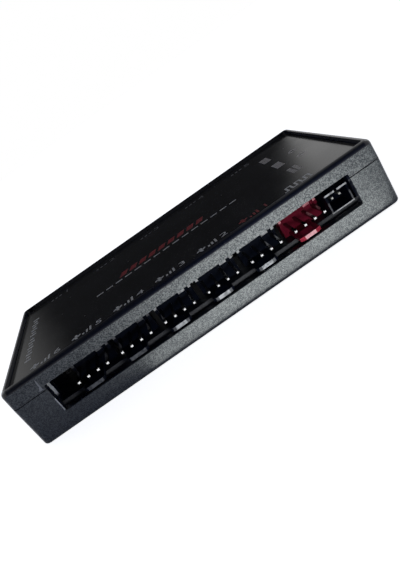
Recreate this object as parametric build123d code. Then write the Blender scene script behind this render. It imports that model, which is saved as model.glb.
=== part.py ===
"""Fan controller hub for a desktop computer: a two-part moulded case round one circuit board.

Millimetres. +X runs along the length towards the control socket, the fan headers look out of the
front (-Y), +Z is up, and the origin is the middle of the underside.
"""
import math
import os

from build123d import *

# Case walls
WALL = 2.2
FLOOR = 1.4
ROOF = 1.5
CORNER_RADIUS = 1.8
COVER_DRAFT_DEGREES = 1.3
TOP_EDGE_RADIUS = 1.2
FOOT_EDGE_RADIUS = 0.5
RIM_FLAT = 0.2
RIM_HEIGHT = 1.0
RECESS_CORNER_RADIUS = 0.8
INNER_CORNER_RADIUS = 0.9

# Label sheet that lies in the top recess
LABEL_THICKNESS = 0.5
LABEL_GAP = 0.12
LABEL_EDGE = 0.1

# Joint between the two halves
SHADOW_GAP_HEIGHT = 0.22
SHADOW_GAP_DEPTH = 0.45
LIP_THICKNESS = 0.9
LIP_HEIGHT = 1.3
LIP_GAP = 0.1
COVER_NOTCH = 0.95
OPENING_CORNER_RADIUS = 0.5
SILL_DROP = 0.3

# Circuit board
BOARD_THICKNESS = 1.6
BOARD_END_GAP = 0.45
BOARD_SETBACK = 4.7
BOARD_CORNER_RADIUS = 1.0
TAIL_ROOM = 1.7
TAIL_LENGTH = 1.0
DRILL_GAP = 0.06

# Screw posts and screws
POST_RADIUS = 2.4
POST_EDGE_ROOM = 0.4
PILOT_SPARE = 0.4
PEDESTAL_RADIUS = 3.5
POST_RIB = 1.2
SCREW_RADIUS = 1.1
SCREW_HEAD_RADIUS = 2.2
SCREW_HEAD_HEIGHT = 1.3
SCREW_HEAD_ROUND = 0.45
SCREW_LENGTH = 9.0
SCREW_SINK = 0.3
SCREW_GAP = 0.2
SCREW_FIT = 0.03
SCREW_POINT = 0.8
DRIVE_WIDTH = 0.6
DRIVE_SPAN = 2.4
DRIVE_DEPTH = 0.8
SUPPORT_RADIUS = 1.6
SUPPORT_SPACING = 32.0

# Right-angle fan headers on the front edge
PIN_PITCH = 2.54
PIN_SIZE = 0.64
PIN_POINT = 0.12
PIN_FIT = 0.02
BEND_RADIUS = 0.3
FAN_COUNT = 6
FAN_PIN_COUNT = 4
FAN_PITCH = 11.57
FAN_PIN_HEIGHT = 3.1
FAN_PIN_REACH = 7.7
FAN_TIP_SETBACK = 0.65
FAN_BASE_DEPTH = 3.2
FAN_BASE_HEIGHT = 5.5
FAN_BASE_CHAMFER = 0.9
FAN_TAIL_GAP = 1.3
TAB_WIDTH = 5.3
TAB_THICKNESS = 0.9
TAB_SETBACK = 0.9
TAB_CLIP_WIDTH = 0.9
TAB_CLIP_DEPTH = 0.4
RIDGE_WIDTH = 2.7
RIDGE_HEIGHT = 0.4
RIDGE_LENGTH = 1.6
RIDGE_SETBACK = 1.2
KEY_REACH = 0.7
KEY_WIDTH = 1.7
END_KEY_WIDTH = 0.7
PLUG_ROOM = 4.13
LINTEL = 0.75

# Two-pin control socket beside the fan headers
SOCKET_GAP = 0.86
SOCKET_WIDTH = 5.9
SOCKET_HEIGHT = 4.9
SOCKET_DEPTH = 7.6
SOCKET_WALL = 0.5
SOCKET_BACK = 2.0
SOCKET_SETBACK = 3.8
SOCKET_SLOT_WIDTH = 0.7
SOCKET_SLOT_LENGTH = 3.4
SOCKET_PIN_COUNT = 2
SOCKET_PIN_PITCH = 2.0
SOCKET_PIN_SIZE = 0.5
SOCKET_PIN_HEIGHT = 2.85
SOCKET_PIN_SETBACK = 1.3
SOCKET_TAIL_GAP = 0.9

# Lighting headers on the back edge, four places with one left empty
LIGHT_COUNT = 5
LIGHT_PLACE_COUNT = 4
LIGHT_EMPTY_INDEX = 2
LIGHT_PITCH = 15.6
LIGHT_POST_ROOM = 1.0
LIGHT_OPENING_MARGIN = 0.5
LIGHT_BASE_DEPTH = 2.54
LIGHT_BASE_HEIGHT = 2.54
LIGHT_BASE_CHAMFER = 0.35
LIGHT_PIN_REACH = 6.1
LIGHT_TAIL_GAP = 1.3

# Power inlet in the left end
INLET_HEIGHT = 5.2
INLET_DEPTH = 8.6
INLET_WALL = 0.8
INLET_CAVITY = 6.2
INLET_SETBACK = 0.5
INLET_MARGIN = 0.5
INLET_CORNER_RADIUS = 0.4
TONGUE_THICKNESS = 1.1
TONGUE_REACH = 5.6
TONGUE_MARGIN = 0.15
TONGUE_SIDE_GAP = 0.36
TONGUE_KEY = 1.0
CONTACT_COUNT = 15
CONTACT_PITCH = 1.27
CONTACT_WIDTH = 0.8
CONTACT_THICKNESS = 0.2
CONTACT_REACH = 5.2
CONTACT_FOOT = 1.2

# Rooms that set the overall size
LEFT_POST_ROOM = 5.4
RIGHT_POST_ROOM = 0.4
LEFT_END_ROOM = 1.38
RIGHT_END_ROOM = 0.55
LEFT_OPENING_ROOM = 4.78
RIGHT_OPENING_ROOM = 0.03
INLET_POST_ROOM = 4.2

# Parts on the middle of the board
CHIP_LEAD_COUNT = 10
BUFFER_LEAD_COUNT = 7
LEAD_PITCH = 1.27
LEAD_WIDTH = 0.42
LEAD_THICKNESS = 0.25
LEAD_FOOT = 0.75
LEAD_SPREAD = 0.8
CHIP_WIDTH = 7.4
BUFFER_WIDTH = 3.9
CHIP_HEIGHT = 2.2
CHIP_STANDOFF = 0.15
CHIP_TAPER = 0.3
CHIP_X = 20.0
BUFFER_X = 2.0
CHIP_ROW_Y = 1.5
CAN_RADIUS = 3.15
CAN_HEIGHT = 5.6
CAN_FOOT = 6.6
CAN_FOOT_HEIGHT = 1.0
CAN_FOOT_CORNER = 1.2
CAN_GROOVE = 0.3
CAN_GROOVE_HALF = 0.6
CAN_WAIST_HEIGHT = 0.9
CAN_TOP_RADIUS = 0.5
CAN_COUNT = 2
CAN_X = -26.0
CAN_SPACING = 9.0
FUSE_LENGTH = 4.5
FUSE_WIDTH = 3.2
FUSE_HEIGHT = 1.0
FUSE_NOTCH = 0.5
FUSE_COUNT = 2
FUSE_X = -13.5
FUSE_SPACING = 6.0
CHIP_PART_LENGTH = 1.6
CHIP_PART_WIDTH = 0.8
CHIP_PART_HEIGHT = 0.5
CHIP_PART_EDGE = 0.08
CHIP_PART_PITCH = 4.0
CHIP_PART_COUNT = 6
RESISTOR_ROW_Y = -6.8
CAPACITOR_ROW_Y = 9.6
CHIP_PART_ROW_X = 10.0


def block(x, y, z):
    """A box between two limits on each axis."""
    size = [high - low for low, high in (x, y, z)]
    middle = [(high + low) / 2 for low, high in (x, y, z)]
    return Pos(*middle) * Box(*size)


def plate(length, width, radius, bottom, top, draft=0):
    """An upright slab with rounded corners in plan, and with walls that lean in by the draft."""
    return Pos(0, 0, bottom) * extrude(RectangleRounded(length, width, radius), top - bottom, taper=draft)


def post(x, y, radius, bottom, top):
    """An upright cylinder between two heights."""
    return Pos(x, y, bottom) * extrude(Circle(radius), top - bottom)


def along_x(outline, start, finish):
    """Extrude a side view, drawn in Y and Z, between two places along X."""
    return Pos(start, 0, 0) * extrude(Plane.YZ * outline, finish - start)


def group(solids):
    """Keep several separate solids as one sub-part."""
    return Compound(children=list(solids))


def spread(count, pitch):
    """Places of a row of equal steps about its middle."""
    return [(index - (count - 1) / 2) * pitch for index in range(count)]


# Heights of the stack, from the underside up
board_bottom = FLOOR + TAIL_ROOM
board_top = board_bottom + BOARD_THICKNESS
fan_pin_z = board_top + FAN_PIN_HEIGHT
opening_bottom = board_top - SILL_DROP
opening_top = fan_pin_z + PIN_SIZE / 2 + PLUG_ROOM
roof_bottom = opening_top + LINTEL
recess_floor = roof_bottom + ROOF
case_height = recess_floor + LABEL_THICKNESS + RIM_HEIGHT
parting = opening_top - COVER_NOTCH
tail_bottom = board_bottom - TAIL_LENGTH

# Lengths along X, worked out from the row of front connectors
fan_width = FAN_PIN_COUNT * PIN_PITCH
row_length = (FAN_COUNT - 1) * FAN_PITCH + fan_width + SOCKET_GAP + SOCKET_WIDTH
left_end = WALL + LEFT_END_ROOM + 2 * POST_RADIUS + LEFT_POST_ROOM
right_end = RIGHT_POST_ROOM + 2 * POST_RADIUS + RIGHT_END_ROOM + WALL
case_length = left_end + row_length + right_end
row_start = left_end - case_length / 2
row_finish = row_start + row_length
socket_x = row_finish - SOCKET_WIDTH / 2
left_post_x = row_start - LEFT_POST_ROOM - POST_RADIUS
right_post_x = row_finish + RIGHT_POST_ROOM + POST_RADIUS

# Widths along Y, worked out from the inlet between the left posts
contact_row = (CONTACT_COUNT - 1) * CONTACT_PITCH + CONTACT_WIDTH
tongue_half = contact_row / 2 + TONGUE_MARGIN + TONGUE_THICKNESS
inlet_width = 2 * (tongue_half + TONGUE_SIDE_GAP + INLET_WALL)
post_setback = BOARD_SETBACK + POST_EDGE_ROOM
case_width = inlet_width + 2 * (INLET_POST_ROOM + 2 * POST_RADIUS + post_setback)
post_y = case_width / 2 - post_setback - POST_RADIUS
front = -case_width / 2
back = case_width / 2
board_length = case_length - 2 * (WALL + BOARD_END_GAP)
board_width = case_width - 2 * BOARD_SETBACK
post_places = [(x, y) for x in (left_post_x, right_post_x) for y in (-post_y, post_y)]

# Openings in the side walls
fan_opening = (row_start - LEFT_OPENING_ROOM, row_finish + RIGHT_OPENING_ROOM)
light_width = LIGHT_PLACE_COUNT * PIN_PITCH
light_start = left_post_x + POST_RADIUS + LIGHT_POST_ROOM
light_finish = light_start + (LIGHT_COUNT - 1) * LIGHT_PITCH + light_width
light_opening = (light_start - LIGHT_OPENING_MARGIN, light_finish + LIGHT_OPENING_MARGIN)
inlet_opening = (-inlet_width / 2 - INLET_MARGIN, inlet_width / 2 + INLET_MARGIN)

# Sizes that follow from the ones above
inner_length = case_length - 2 * WALL
inner_width = case_width - 2 * WALL
cover_lean = (case_height - parting) * math.tan(math.radians(COVER_DRAFT_DEGREES))
rim = cover_lean + TOP_EDGE_RADIUS + RIM_FLAT
recess_length = case_length - 2 * rim
recess_width = case_width - 2 * rim
head_seat = SCREW_SINK + SCREW_HEAD_HEIGHT
screw_top = head_seat + SCREW_LENGTH
tongue_top = INLET_HEIGHT / 2 + TONGUE_THICKNESS / 2

# Places of the connectors and of their pins
fan_pin_places = spread(FAN_PIN_COUNT, PIN_PITCH)
socket_pin_places = spread(SOCKET_PIN_COUNT, SOCKET_PIN_PITCH)
light_places = spread(LIGHT_PLACE_COUNT, PIN_PITCH)
light_pin_places = [x for place, x in enumerate(light_places) if place != LIGHT_EMPTY_INDEX]
contact_places = spread(CONTACT_COUNT, CONTACT_PITCH)
fan_middles = [row_start + fan_width / 2 + index * FAN_PITCH for index in range(FAN_COUNT)]
light_middles = [light_start + light_width / 2 + index * LIGHT_PITCH for index in range(LIGHT_COUNT)]
fan_face_y = front + FAN_TIP_SETBACK + FAN_PIN_REACH
fan_tail = FAN_BASE_DEPTH + FAN_TAIL_GAP
fan_tail_y = fan_face_y + fan_tail
light_face_y = back - FAN_TIP_SETBACK - LIGHT_PIN_REACH
light_tail = LIGHT_BASE_DEPTH + LIGHT_TAIL_GAP
light_tail_y = light_face_y - light_tail
socket_y = front + SOCKET_SETBACK
socket_tail = SOCKET_DEPTH + SOCKET_TAIL_GAP
socket_tail_y = socket_y + socket_tail
inlet_x = -case_length / 2 + INLET_SETBACK


def window(across, heights, depth, turn):
    """A cutter with rounded corners through one wall, made for the front and turned about Z."""
    outline = RectangleRounded(across[1] - across[0], heights[1] - heights[0], OPENING_CORNER_RADIUS)
    outline = Pos(sum(across) / 2, sum(heights) / 2) * outline
    cutter = Pos(0, depth, 0) * extrude(Plane.XZ * outline, 2 * depth)
    return Rot(0, 0, turn) * cutter


def wall_windows(heights, inlet_heights):
    """The cutters for the fan, lighting and inlet openings, each through one wall."""
    through = WALL + LIP_GAP
    fans = Pos(0, front, 0) * window(fan_opening, heights, through, 0)
    turned = (-light_opening[1], -light_opening[0])
    lights = Pos(0, back, 0) * window(turned, heights, through, 180)
    inlet = Pos(-case_length / 2, 0, 0) * window(inlet_opening, inlet_heights, through, -90)
    return [fans, lights, inlet]


def bottom_case():
    """Tray with three open wall tops, screw pedestals and supports under the board."""
    tray = plate(case_length, case_width, CORNER_RADIUS, 0, parting)
    tray = fillet(tray.faces().sort_by(Axis.Z)[0].edges(), FOOT_EDGE_RADIUS)
    tray -= plate(inner_length, inner_width, INNER_CORNER_RADIUS, FLOOR, parting)
    step = LIP_THICKNESS + LIP_GAP
    lip_floor = parting - LIP_HEIGHT - LIP_GAP
    tray -= plate(inner_length + 2 * step, inner_width + 2 * step, INNER_CORNER_RADIUS, lip_floor, parting)
    gap_floor = parting - SHADOW_GAP_HEIGHT
    ring = plate(case_length, case_width, CORNER_RADIUS, gap_floor, parting)
    ring -= plate(case_length - 2 * SHADOW_GAP_DEPTH, case_width - 2 * SHADOW_GAP_DEPTH,
                  CORNER_RADIUS - SHADOW_GAP_DEPTH, gap_floor, parting)
    tray -= ring
    for cutter in wall_windows((opening_bottom, case_height), (opening_bottom, case_height)):
        tray -= cutter
    within = plate(case_length - WALL, case_width - WALL, INNER_CORNER_RADIUS, 0, board_bottom)
    for x, y in post_places:
        tray += post(x, y, PEDESTAL_RADIUS, 0, board_bottom) & within
    for x in (-SUPPORT_SPACING / 2, SUPPORT_SPACING / 2):
        tray += post(x, 0, SUPPORT_RADIUS, 0, board_bottom)
    for x, y in post_places:
        tray -= post(x, y, SCREW_HEAD_RADIUS + SCREW_GAP, 0, head_seat)
        tray -= post(x, y, SCREW_RADIUS + SCREW_GAP, 0, board_bottom)
    return tray


def top_cover():
    """Lid with a recessed top, a lip that drops into the tray and four screw posts."""
    lid = plate(case_length, case_width, CORNER_RADIUS, parting, case_height, COVER_DRAFT_DEGREES)
    lid = fillet(lid.faces().sort_by(Axis.Z)[-1].edges(), TOP_EDGE_RADIUS)
    lid -= plate(recess_length, recess_width, RECESS_CORNER_RADIUS, recess_floor, case_height)
    lip = plate(inner_length + 2 * LIP_THICKNESS, inner_width + 2 * LIP_THICKNESS, INNER_CORNER_RADIUS,
                parting - LIP_HEIGHT, parting)
    lid += lip
    lid -= plate(inner_length, inner_width, INNER_CORNER_RADIUS, parting - LIP_HEIGHT, roof_bottom)
    for cutter in wall_windows((0, opening_top), (0, parting)):
        lid -= cutter
    for x, y in post_places:
        end = (case_length - WALL) / 2 if x > 0 else (WALL - case_length) / 2
        lid += block(sorted((x, end)), (y - POST_RIB / 2, y + POST_RIB / 2), (parting, roof_bottom))
        lid += post(x, y, POST_RADIUS, board_top, roof_bottom)
    for x, y in post_places:
        lid -= post(x, y, SCREW_RADIUS + SCREW_FIT, board_top, screw_top + PILOT_SPARE)
    return lid


def label_panel():
    """Thin sheet that lies on the floor of the top recess, with eased edges."""
    sheet = plate(recess_length - 2 * LABEL_GAP, recess_width - 2 * LABEL_GAP,
                  RECESS_CORNER_RADIUS - LABEL_GAP, recess_floor, recess_floor + LABEL_THICKNESS)
    return chamfer(sheet.faces().sort_by(Axis.Z)[-1].edges(), LABEL_EDGE)


def case_screw():
    """Pan-head screw, head down, with a pointed end and a crossed drive recess."""
    low = head_seat - SCREW_HEAD_HEIGHT
    outline = Polyline((0, low), (SCREW_HEAD_RADIUS, low), (SCREW_HEAD_RADIUS, head_seat),
                       (SCREW_RADIUS, head_seat), (SCREW_RADIUS, screw_top - SCREW_POINT),
                       (SCREW_RADIUS / 2, screw_top), (0, screw_top), close=True)
    screw = revolve(Plane.XZ * make_face(outline), Axis.Z)
    screw = fillet(screw.edges().group_by(Axis.Z)[0], SCREW_HEAD_ROUND)
    for turn in (0, 90):
        slot = Pos(0, 0, low + DRIVE_DEPTH / 2) * Box(DRIVE_SPAN, DRIVE_WIDTH, DRIVE_DEPTH)
        screw -= Rot(0, 0, turn) * slot
    return screw


def bent_pin(size, tip, tail, height):
    """Square wire that runs back from its pointed tip and turns down through the board."""
    half = size / 2
    foot = tail_bottom - board_top
    outline = make_face(Polyline((tip, height - half), (tail - half, height - half), (tail - half, foot),
                                 (tail + half, foot), (tail + half, height + half), (tip, height + half),
                                 close=True))
    corners = outline.vertices()
    inner = corners.sort_by_distance(Vector(tail - half, height - half))[0]
    outline = fillet(inner, BEND_RADIUS)
    outer = outline.vertices().sort_by_distance(Vector(tail + half, height + half))[0]
    outline = fillet(outer, BEND_RADIUS + size)
    wire = along_x(outline, -half, half)
    return chamfer(wire.faces().sort_by(Axis.Y)[0].edges(), PIN_POINT)


def stepped_strip(start, height, knee, foot_end, thickness, width):
    """Flat strip that runs back at one height, steps down and ends in a foot on the board."""
    outline = Polyline((start, height), (knee, height), (knee, 0), (foot_end, 0), (foot_end, thickness),
                       (knee + thickness, thickness), (knee + thickness, height + thickness),
                       (start, height + thickness), close=True)
    return along_x(make_face(outline), -width / 2, width / 2)


def fan_header():
    """Right-angle header: a block drilled for its pins and a locking tab along the board.

    The face that the plug meets is at y = 0, the board's top at z = 0, and plugs come from -Y.
    """
    half = fan_width / 2
    side = Polyline((0, 0), (FAN_BASE_DEPTH, 0), (FAN_BASE_DEPTH, FAN_BASE_HEIGHT - FAN_BASE_CHAMFER),
                    (FAN_BASE_DEPTH - FAN_BASE_CHAMFER, FAN_BASE_HEIGHT), (0, FAN_BASE_HEIGHT), close=True)
    header = along_x(make_face(side), -half, half)
    tip = -(FAN_PIN_REACH + FAN_TIP_SETBACK - TAB_SETBACK)
    tab_x = fan_pin_places[1]
    wide = TAB_WIDTH / 2
    root = FAN_BASE_DEPTH / 2
    clip_end = tip + TAB_CLIP_DEPTH
    plan = Polyline((-wide, root), (-wide, clip_end), (TAB_CLIP_WIDTH - wide, tip),
                    (wide - TAB_CLIP_WIDTH, tip), (wide, clip_end), (wide, root), close=True)
    header += Pos(tab_x, 0, 0) * extrude(make_face(plan), TAB_THICKNESS)
    ramp = Polyline((tip + RIDGE_SETBACK, TAB_THICKNESS),
                    (tip + RIDGE_SETBACK + RIDGE_LENGTH, TAB_THICKNESS + RIDGE_HEIGHT),
                    (tip + RIDGE_SETBACK + RIDGE_LENGTH, TAB_THICKNESS), close=True)
    header += along_x(make_face(ramp), tab_x - RIDGE_WIDTH / 2, tab_x + RIDGE_WIDTH / 2)
    between = (fan_pin_places[-1] + fan_pin_places[-2]) / 2
    keys = [(-half, END_KEY_WIDTH - half), (between - KEY_WIDTH / 2, between + KEY_WIDTH / 2),
            (half - END_KEY_WIDTH, half)]
    for across in keys:
        header += block(across, (-KEY_REACH, FAN_BASE_DEPTH / 2), (FAN_PIN_HEIGHT, FAN_BASE_HEIGHT))
    hole = PIN_SIZE / 2 + PIN_FIT
    for x in fan_pin_places:
        header -= block((x - hole, x + hole), (-KEY_REACH, FAN_BASE_DEPTH),
                        (FAN_PIN_HEIGHT - hole, FAN_PIN_HEIGHT + hole))
    return header


def control_socket():
    """Boxed two-pin socket, open towards -Y, with a keying slot in its top wall."""
    half = SOCKET_WIDTH / 2
    socket = block((-half, half), (0, SOCKET_DEPTH), (0, SOCKET_HEIGHT))
    socket = fillet(socket.edges().filter_by(Axis.Y), SOCKET_WALL / 2)
    socket -= block((SOCKET_WALL - half, half - SOCKET_WALL), (0, SOCKET_DEPTH - SOCKET_BACK),
                    (SOCKET_WALL, SOCKET_HEIGHT - SOCKET_WALL))
    socket -= block((-SOCKET_SLOT_WIDTH / 2, SOCKET_SLOT_WIDTH / 2), (0, SOCKET_SLOT_LENGTH),
                    (SOCKET_HEIGHT - SOCKET_WALL, SOCKET_HEIGHT))
    hole = SOCKET_PIN_SIZE / 2 + PIN_FIT
    for x in socket_pin_places:
        socket -= block((x - hole, x + hole), (0, SOCKET_DEPTH),
                        (SOCKET_PIN_HEIGHT - hole, SOCKET_PIN_HEIGHT + hole))
    return socket


def light_header():
    """Strip of four break-off places, each with bevelled corners, drilled for three pins."""
    place = Pos(0, LIGHT_BASE_HEIGHT / 2) * Rectangle(PIN_PITCH, LIGHT_BASE_HEIGHT)
    place = chamfer(place.vertices(), LIGHT_BASE_CHAMFER)
    outline = Sketch() + [Pos(x, 0) * place for x in light_places]
    strip = Pos(0, LIGHT_BASE_DEPTH, 0) * extrude(Plane.XZ * outline, LIGHT_BASE_DEPTH)
    hole = PIN_SIZE / 2 + PIN_FIT
    middle = LIGHT_BASE_HEIGHT / 2
    for x in light_pin_places:
        strip -= block((x - hole, x + hole), (0, LIGHT_BASE_DEPTH), (middle - hole, middle + hole))
    return strip


def power_inlet():
    """Shrouded inlet with a contact tongue that has a hooked end, open towards -Y."""
    outline = Pos(0, INLET_HEIGHT / 2) * RectangleRounded(inlet_width, INLET_HEIGHT, INLET_CORNER_RADIUS)
    shell = Pos(0, INLET_DEPTH, 0) * extrude(Plane.XZ * outline, INLET_DEPTH)
    half = inlet_width / 2 - INLET_WALL
    shell -= block((-half, half), (0, INLET_CAVITY), (INLET_WALL, INLET_HEIGHT - INLET_WALL))
    low = tongue_top - TONGUE_THICKNESS
    hook_side = tongue_half - TONGUE_THICKNESS
    hook_top = tongue_top + TONGUE_KEY
    hook = Polyline((-tongue_half, low), (tongue_half, low), (tongue_half, hook_top), (hook_side, hook_top),
                    (hook_side, tongue_top), (-tongue_half, tongue_top), close=True)
    root = (INLET_CAVITY + INLET_DEPTH) / 2
    length = root - INLET_CAVITY + TONGUE_REACH
    shell += Pos(0, root, 0) * extrude(Plane.XZ * make_face(hook), length)
    slot = CONTACT_WIDTH / 2 + PIN_FIT
    for x in contact_places:
        shell -= block((x - slot, x + slot), (INLET_CAVITY, INLET_DEPTH),
                       (tongue_top, tongue_top + CONTACT_THICKNESS + PIN_FIT))
    return shell


def power_contact():
    """Flat contact that lies on the tongue, leaves through the back wall and steps to the board."""
    return stepped_strip(INLET_CAVITY - CONTACT_REACH, tongue_top, INLET_DEPTH + PIN_FIT,
                         INLET_DEPTH + CONTACT_FOOT, CONTACT_THICKNESS, CONTACT_WIDTH)


def leaded_chip(leads, width):
    """Moulded package with a bevelled body and a row of stepped leads along two sides."""
    length = leads * LEAD_PITCH
    half = width / 2
    middle = CHIP_STANDOFF + (CHIP_HEIGHT - CHIP_STANDOFF) / 2
    side = Polyline((CHIP_TAPER - half, CHIP_STANDOFF), (half - CHIP_TAPER, CHIP_STANDOFF), (half, middle),
                    (half - CHIP_TAPER, CHIP_HEIGHT), (CHIP_TAPER - half, CHIP_HEIGHT), (-half, middle),
                    close=True)
    chip = along_x(make_face(side), -length / 2, length / 2)
    knee = half + LEAD_SPREAD
    lead = stepped_strip(half - CHIP_TAPER, middle - LEAD_THICKNESS / 2, knee, knee + LEAD_FOOT,
                         LEAD_THICKNESS, LEAD_WIDTH)
    for x in spread(leads, LEAD_PITCH):
        for turn in (0, 180):
            chip += Rot(0, 0, turn) * Pos(x, 0, 0) * lead
    return chip


def can_capacitor():
    """Aluminium can with a crimped waist and a rounded top on a square plastic foot."""
    foot = chamfer(Rectangle(CAN_FOOT, CAN_FOOT).vertices().sort_by(Axis.X)[-2:], CAN_FOOT_CORNER)
    waist = CAN_FOOT_HEIGHT + CAN_WAIST_HEIGHT
    side = Polyline((0, 0), (CAN_RADIUS, 0), (CAN_RADIUS, waist - CAN_GROOVE_HALF),
                    (CAN_RADIUS - CAN_GROOVE, waist), (CAN_RADIUS, waist + CAN_GROOVE_HALF),
                    (CAN_RADIUS, CAN_HEIGHT), (0, CAN_HEIGHT), close=True)
    can = revolve(Plane.XZ * make_face(side), Axis.Z)
    can = fillet(can.edges().group_by(Axis.Z)[-1], CAN_TOP_RADIUS)
    return can + extrude(foot, CAN_FOOT_HEIGHT)


def resettable_fuse():
    """Flat chip fuse with a half-round notch in each end."""
    outline = Rectangle(FUSE_LENGTH, FUSE_WIDTH)
    for x in (-FUSE_LENGTH / 2, FUSE_LENGTH / 2):
        outline -= Pos(x, 0) * Circle(FUSE_NOTCH)
    return extrude(outline, FUSE_HEIGHT)


def chip_part():
    """Small two-ended chip resistor or capacitor with eased edges."""
    body = Pos(0, 0, CHIP_PART_HEIGHT / 2) * Box(CHIP_PART_LENGTH, CHIP_PART_WIDTH, CHIP_PART_HEIGHT)
    return chamfer(body.edges().filter_by(Axis.Y), CHIP_PART_EDGE)


def chip_row(y):
    """A row of chip parts on the board."""
    return [Pos(CHIP_PART_ROW_X + x, y, board_top) * chip_part()
            for x in spread(CHIP_PART_COUNT, CHIP_PART_PITCH)]


def drill_radius(size):
    """Radius of the hole that a square pin goes through."""
    return math.hypot(size, size) / 2 + DRILL_GAP


def drill_holes():
    """Places and radii of every hole in the board."""
    holes = [(x, y, SCREW_RADIUS + SCREW_GAP) for x, y in post_places]
    pin_drill = drill_radius(PIN_SIZE)
    holes += [(middle + x, fan_tail_y, pin_drill) for middle in fan_middles for x in fan_pin_places]
    holes += [(middle - x, light_tail_y, pin_drill) for middle in light_middles for x in light_pin_places]
    socket_drill = drill_radius(SOCKET_PIN_SIZE)
    holes += [(socket_x + x, socket_tail_y, socket_drill) for x in socket_pin_places]
    return holes


def circuit_board():
    """The board, drilled for the screws and for every connector pin."""
    outline = RectangleRounded(board_length, board_width, BOARD_CORNER_RADIUS)
    outline -= [Pos(x, y) * Circle(radius) for x, y, radius in drill_holes()]
    return Pos(0, 0, board_bottom) * extrude(outline, BOARD_THICKNESS)


parts = {
    "bottom_case": bottom_case(),
    "top_cover": top_cover(),
    "label_panel": label_panel(),
    "circuit_board": circuit_board(),
    "case_screws": group(Pos(x, y, 0) * case_screw() for x, y in post_places),
}

# Fan headers count up from the control socket towards the left end
fan_pin = bent_pin(PIN_SIZE, -FAN_PIN_REACH, fan_tail, FAN_PIN_HEIGHT)
for number, middle in enumerate(reversed(fan_middles), start=1):
    place = Pos(middle, fan_face_y, board_top)
    parts[f"fan_header_{number}"] = place * fan_header()
    parts[f"fan_pins_{number}"] = group(place * Pos(x, 0, 0) * fan_pin for x in fan_pin_places)

socket_place = Pos(socket_x, socket_y, board_top)
socket_pin = bent_pin(SOCKET_PIN_SIZE, SOCKET_PIN_SETBACK, socket_tail, SOCKET_PIN_HEIGHT)
parts["control_socket"] = socket_place * control_socket()
parts["control_pins"] = group(socket_place * Pos(x, 0, 0) * socket_pin for x in socket_pin_places)

light_pin = bent_pin(PIN_SIZE, -LIGHT_PIN_REACH, light_tail, LIGHT_BASE_HEIGHT / 2)
for number, middle in enumerate(light_middles, start=1):
    place = Pos(middle, light_face_y, board_top) * Rot(0, 0, 180)
    parts[f"light_header_{number}"] = place * light_header()
    parts[f"light_pins_{number}"] = group(place * Pos(x, 0, 0) * light_pin for x in light_pin_places)

inlet_place = Pos(inlet_x, 0, board_top) * Rot(0, 0, -90)
parts["power_inlet"] = inlet_place * power_inlet()
parts["power_contacts"] = group(inlet_place * Pos(x, 0, 0) * power_contact() for x in contact_places)

controller_place = Pos(CHIP_X, CHIP_ROW_Y, board_top)
buffer_place = Pos(BUFFER_X, CHIP_ROW_Y, board_top)
parts["controller_chip"] = controller_place * leaded_chip(CHIP_LEAD_COUNT, CHIP_WIDTH)
parts["buffer_chip"] = buffer_place * leaded_chip(BUFFER_LEAD_COUNT, BUFFER_WIDTH)
parts["bulk_capacitors"] = group(Pos(CAN_X, CHIP_ROW_Y + y, board_top) * can_capacitor()
                                 for y in spread(CAN_COUNT, CAN_SPACING))
parts["resettable_fuses"] = group(Pos(FUSE_X, CHIP_ROW_Y + y, board_top) * resettable_fuse()
                                  for y in spread(FUSE_COUNT, FUSE_SPACING))
parts["chip_resistors"] = group(chip_row(RESISTOR_ROW_Y))
parts["chip_capacitors"] = group(chip_row(CAPACITOR_ROW_Y))

os.makedirs("parts", exist_ok=True)
for name, part in parts.items():
    export_step(part, f"parts/{name}.step")
print(f"case {case_length:.2f} x {case_width:.2f} x {case_height:.2f} mm, {len(parts)} sub-parts")
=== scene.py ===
# %% [markdown]
# # A fan controller hub, dressed for its picture
# The hub is a shallow black box round one circuit board: a tray, a cover, a glossy label sheet in
# the cover's recess and rows of small connectors behind openings in three walls. The solids come
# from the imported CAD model, at their real size and place. This lesson gives every solid its finish,
# prints the legends on the label sheet, lights the hub and places the camera.

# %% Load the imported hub
import math

import bpy
from mathutils import Matrix, Vector


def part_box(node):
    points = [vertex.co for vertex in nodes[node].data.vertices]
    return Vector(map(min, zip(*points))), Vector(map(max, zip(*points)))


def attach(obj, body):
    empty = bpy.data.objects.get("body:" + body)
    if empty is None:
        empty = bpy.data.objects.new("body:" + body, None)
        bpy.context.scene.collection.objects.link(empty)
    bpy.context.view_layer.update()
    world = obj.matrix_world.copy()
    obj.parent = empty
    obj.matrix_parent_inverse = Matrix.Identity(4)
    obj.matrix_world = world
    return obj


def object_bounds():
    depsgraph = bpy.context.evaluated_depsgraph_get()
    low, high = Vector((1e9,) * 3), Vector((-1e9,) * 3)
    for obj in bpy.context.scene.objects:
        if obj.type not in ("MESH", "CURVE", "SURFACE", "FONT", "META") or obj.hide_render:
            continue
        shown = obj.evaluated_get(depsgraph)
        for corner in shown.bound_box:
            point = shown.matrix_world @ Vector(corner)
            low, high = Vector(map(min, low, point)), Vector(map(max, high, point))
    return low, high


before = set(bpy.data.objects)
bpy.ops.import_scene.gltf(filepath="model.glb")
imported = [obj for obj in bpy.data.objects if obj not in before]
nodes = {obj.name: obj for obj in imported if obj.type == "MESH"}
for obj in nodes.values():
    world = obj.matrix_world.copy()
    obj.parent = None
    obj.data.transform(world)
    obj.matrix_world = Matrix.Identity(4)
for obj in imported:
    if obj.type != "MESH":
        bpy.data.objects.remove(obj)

MM = 0.001
cad_box = [list(corner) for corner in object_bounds()]
print("solids:", len(nodes), "box in metres:", cad_box)

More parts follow.
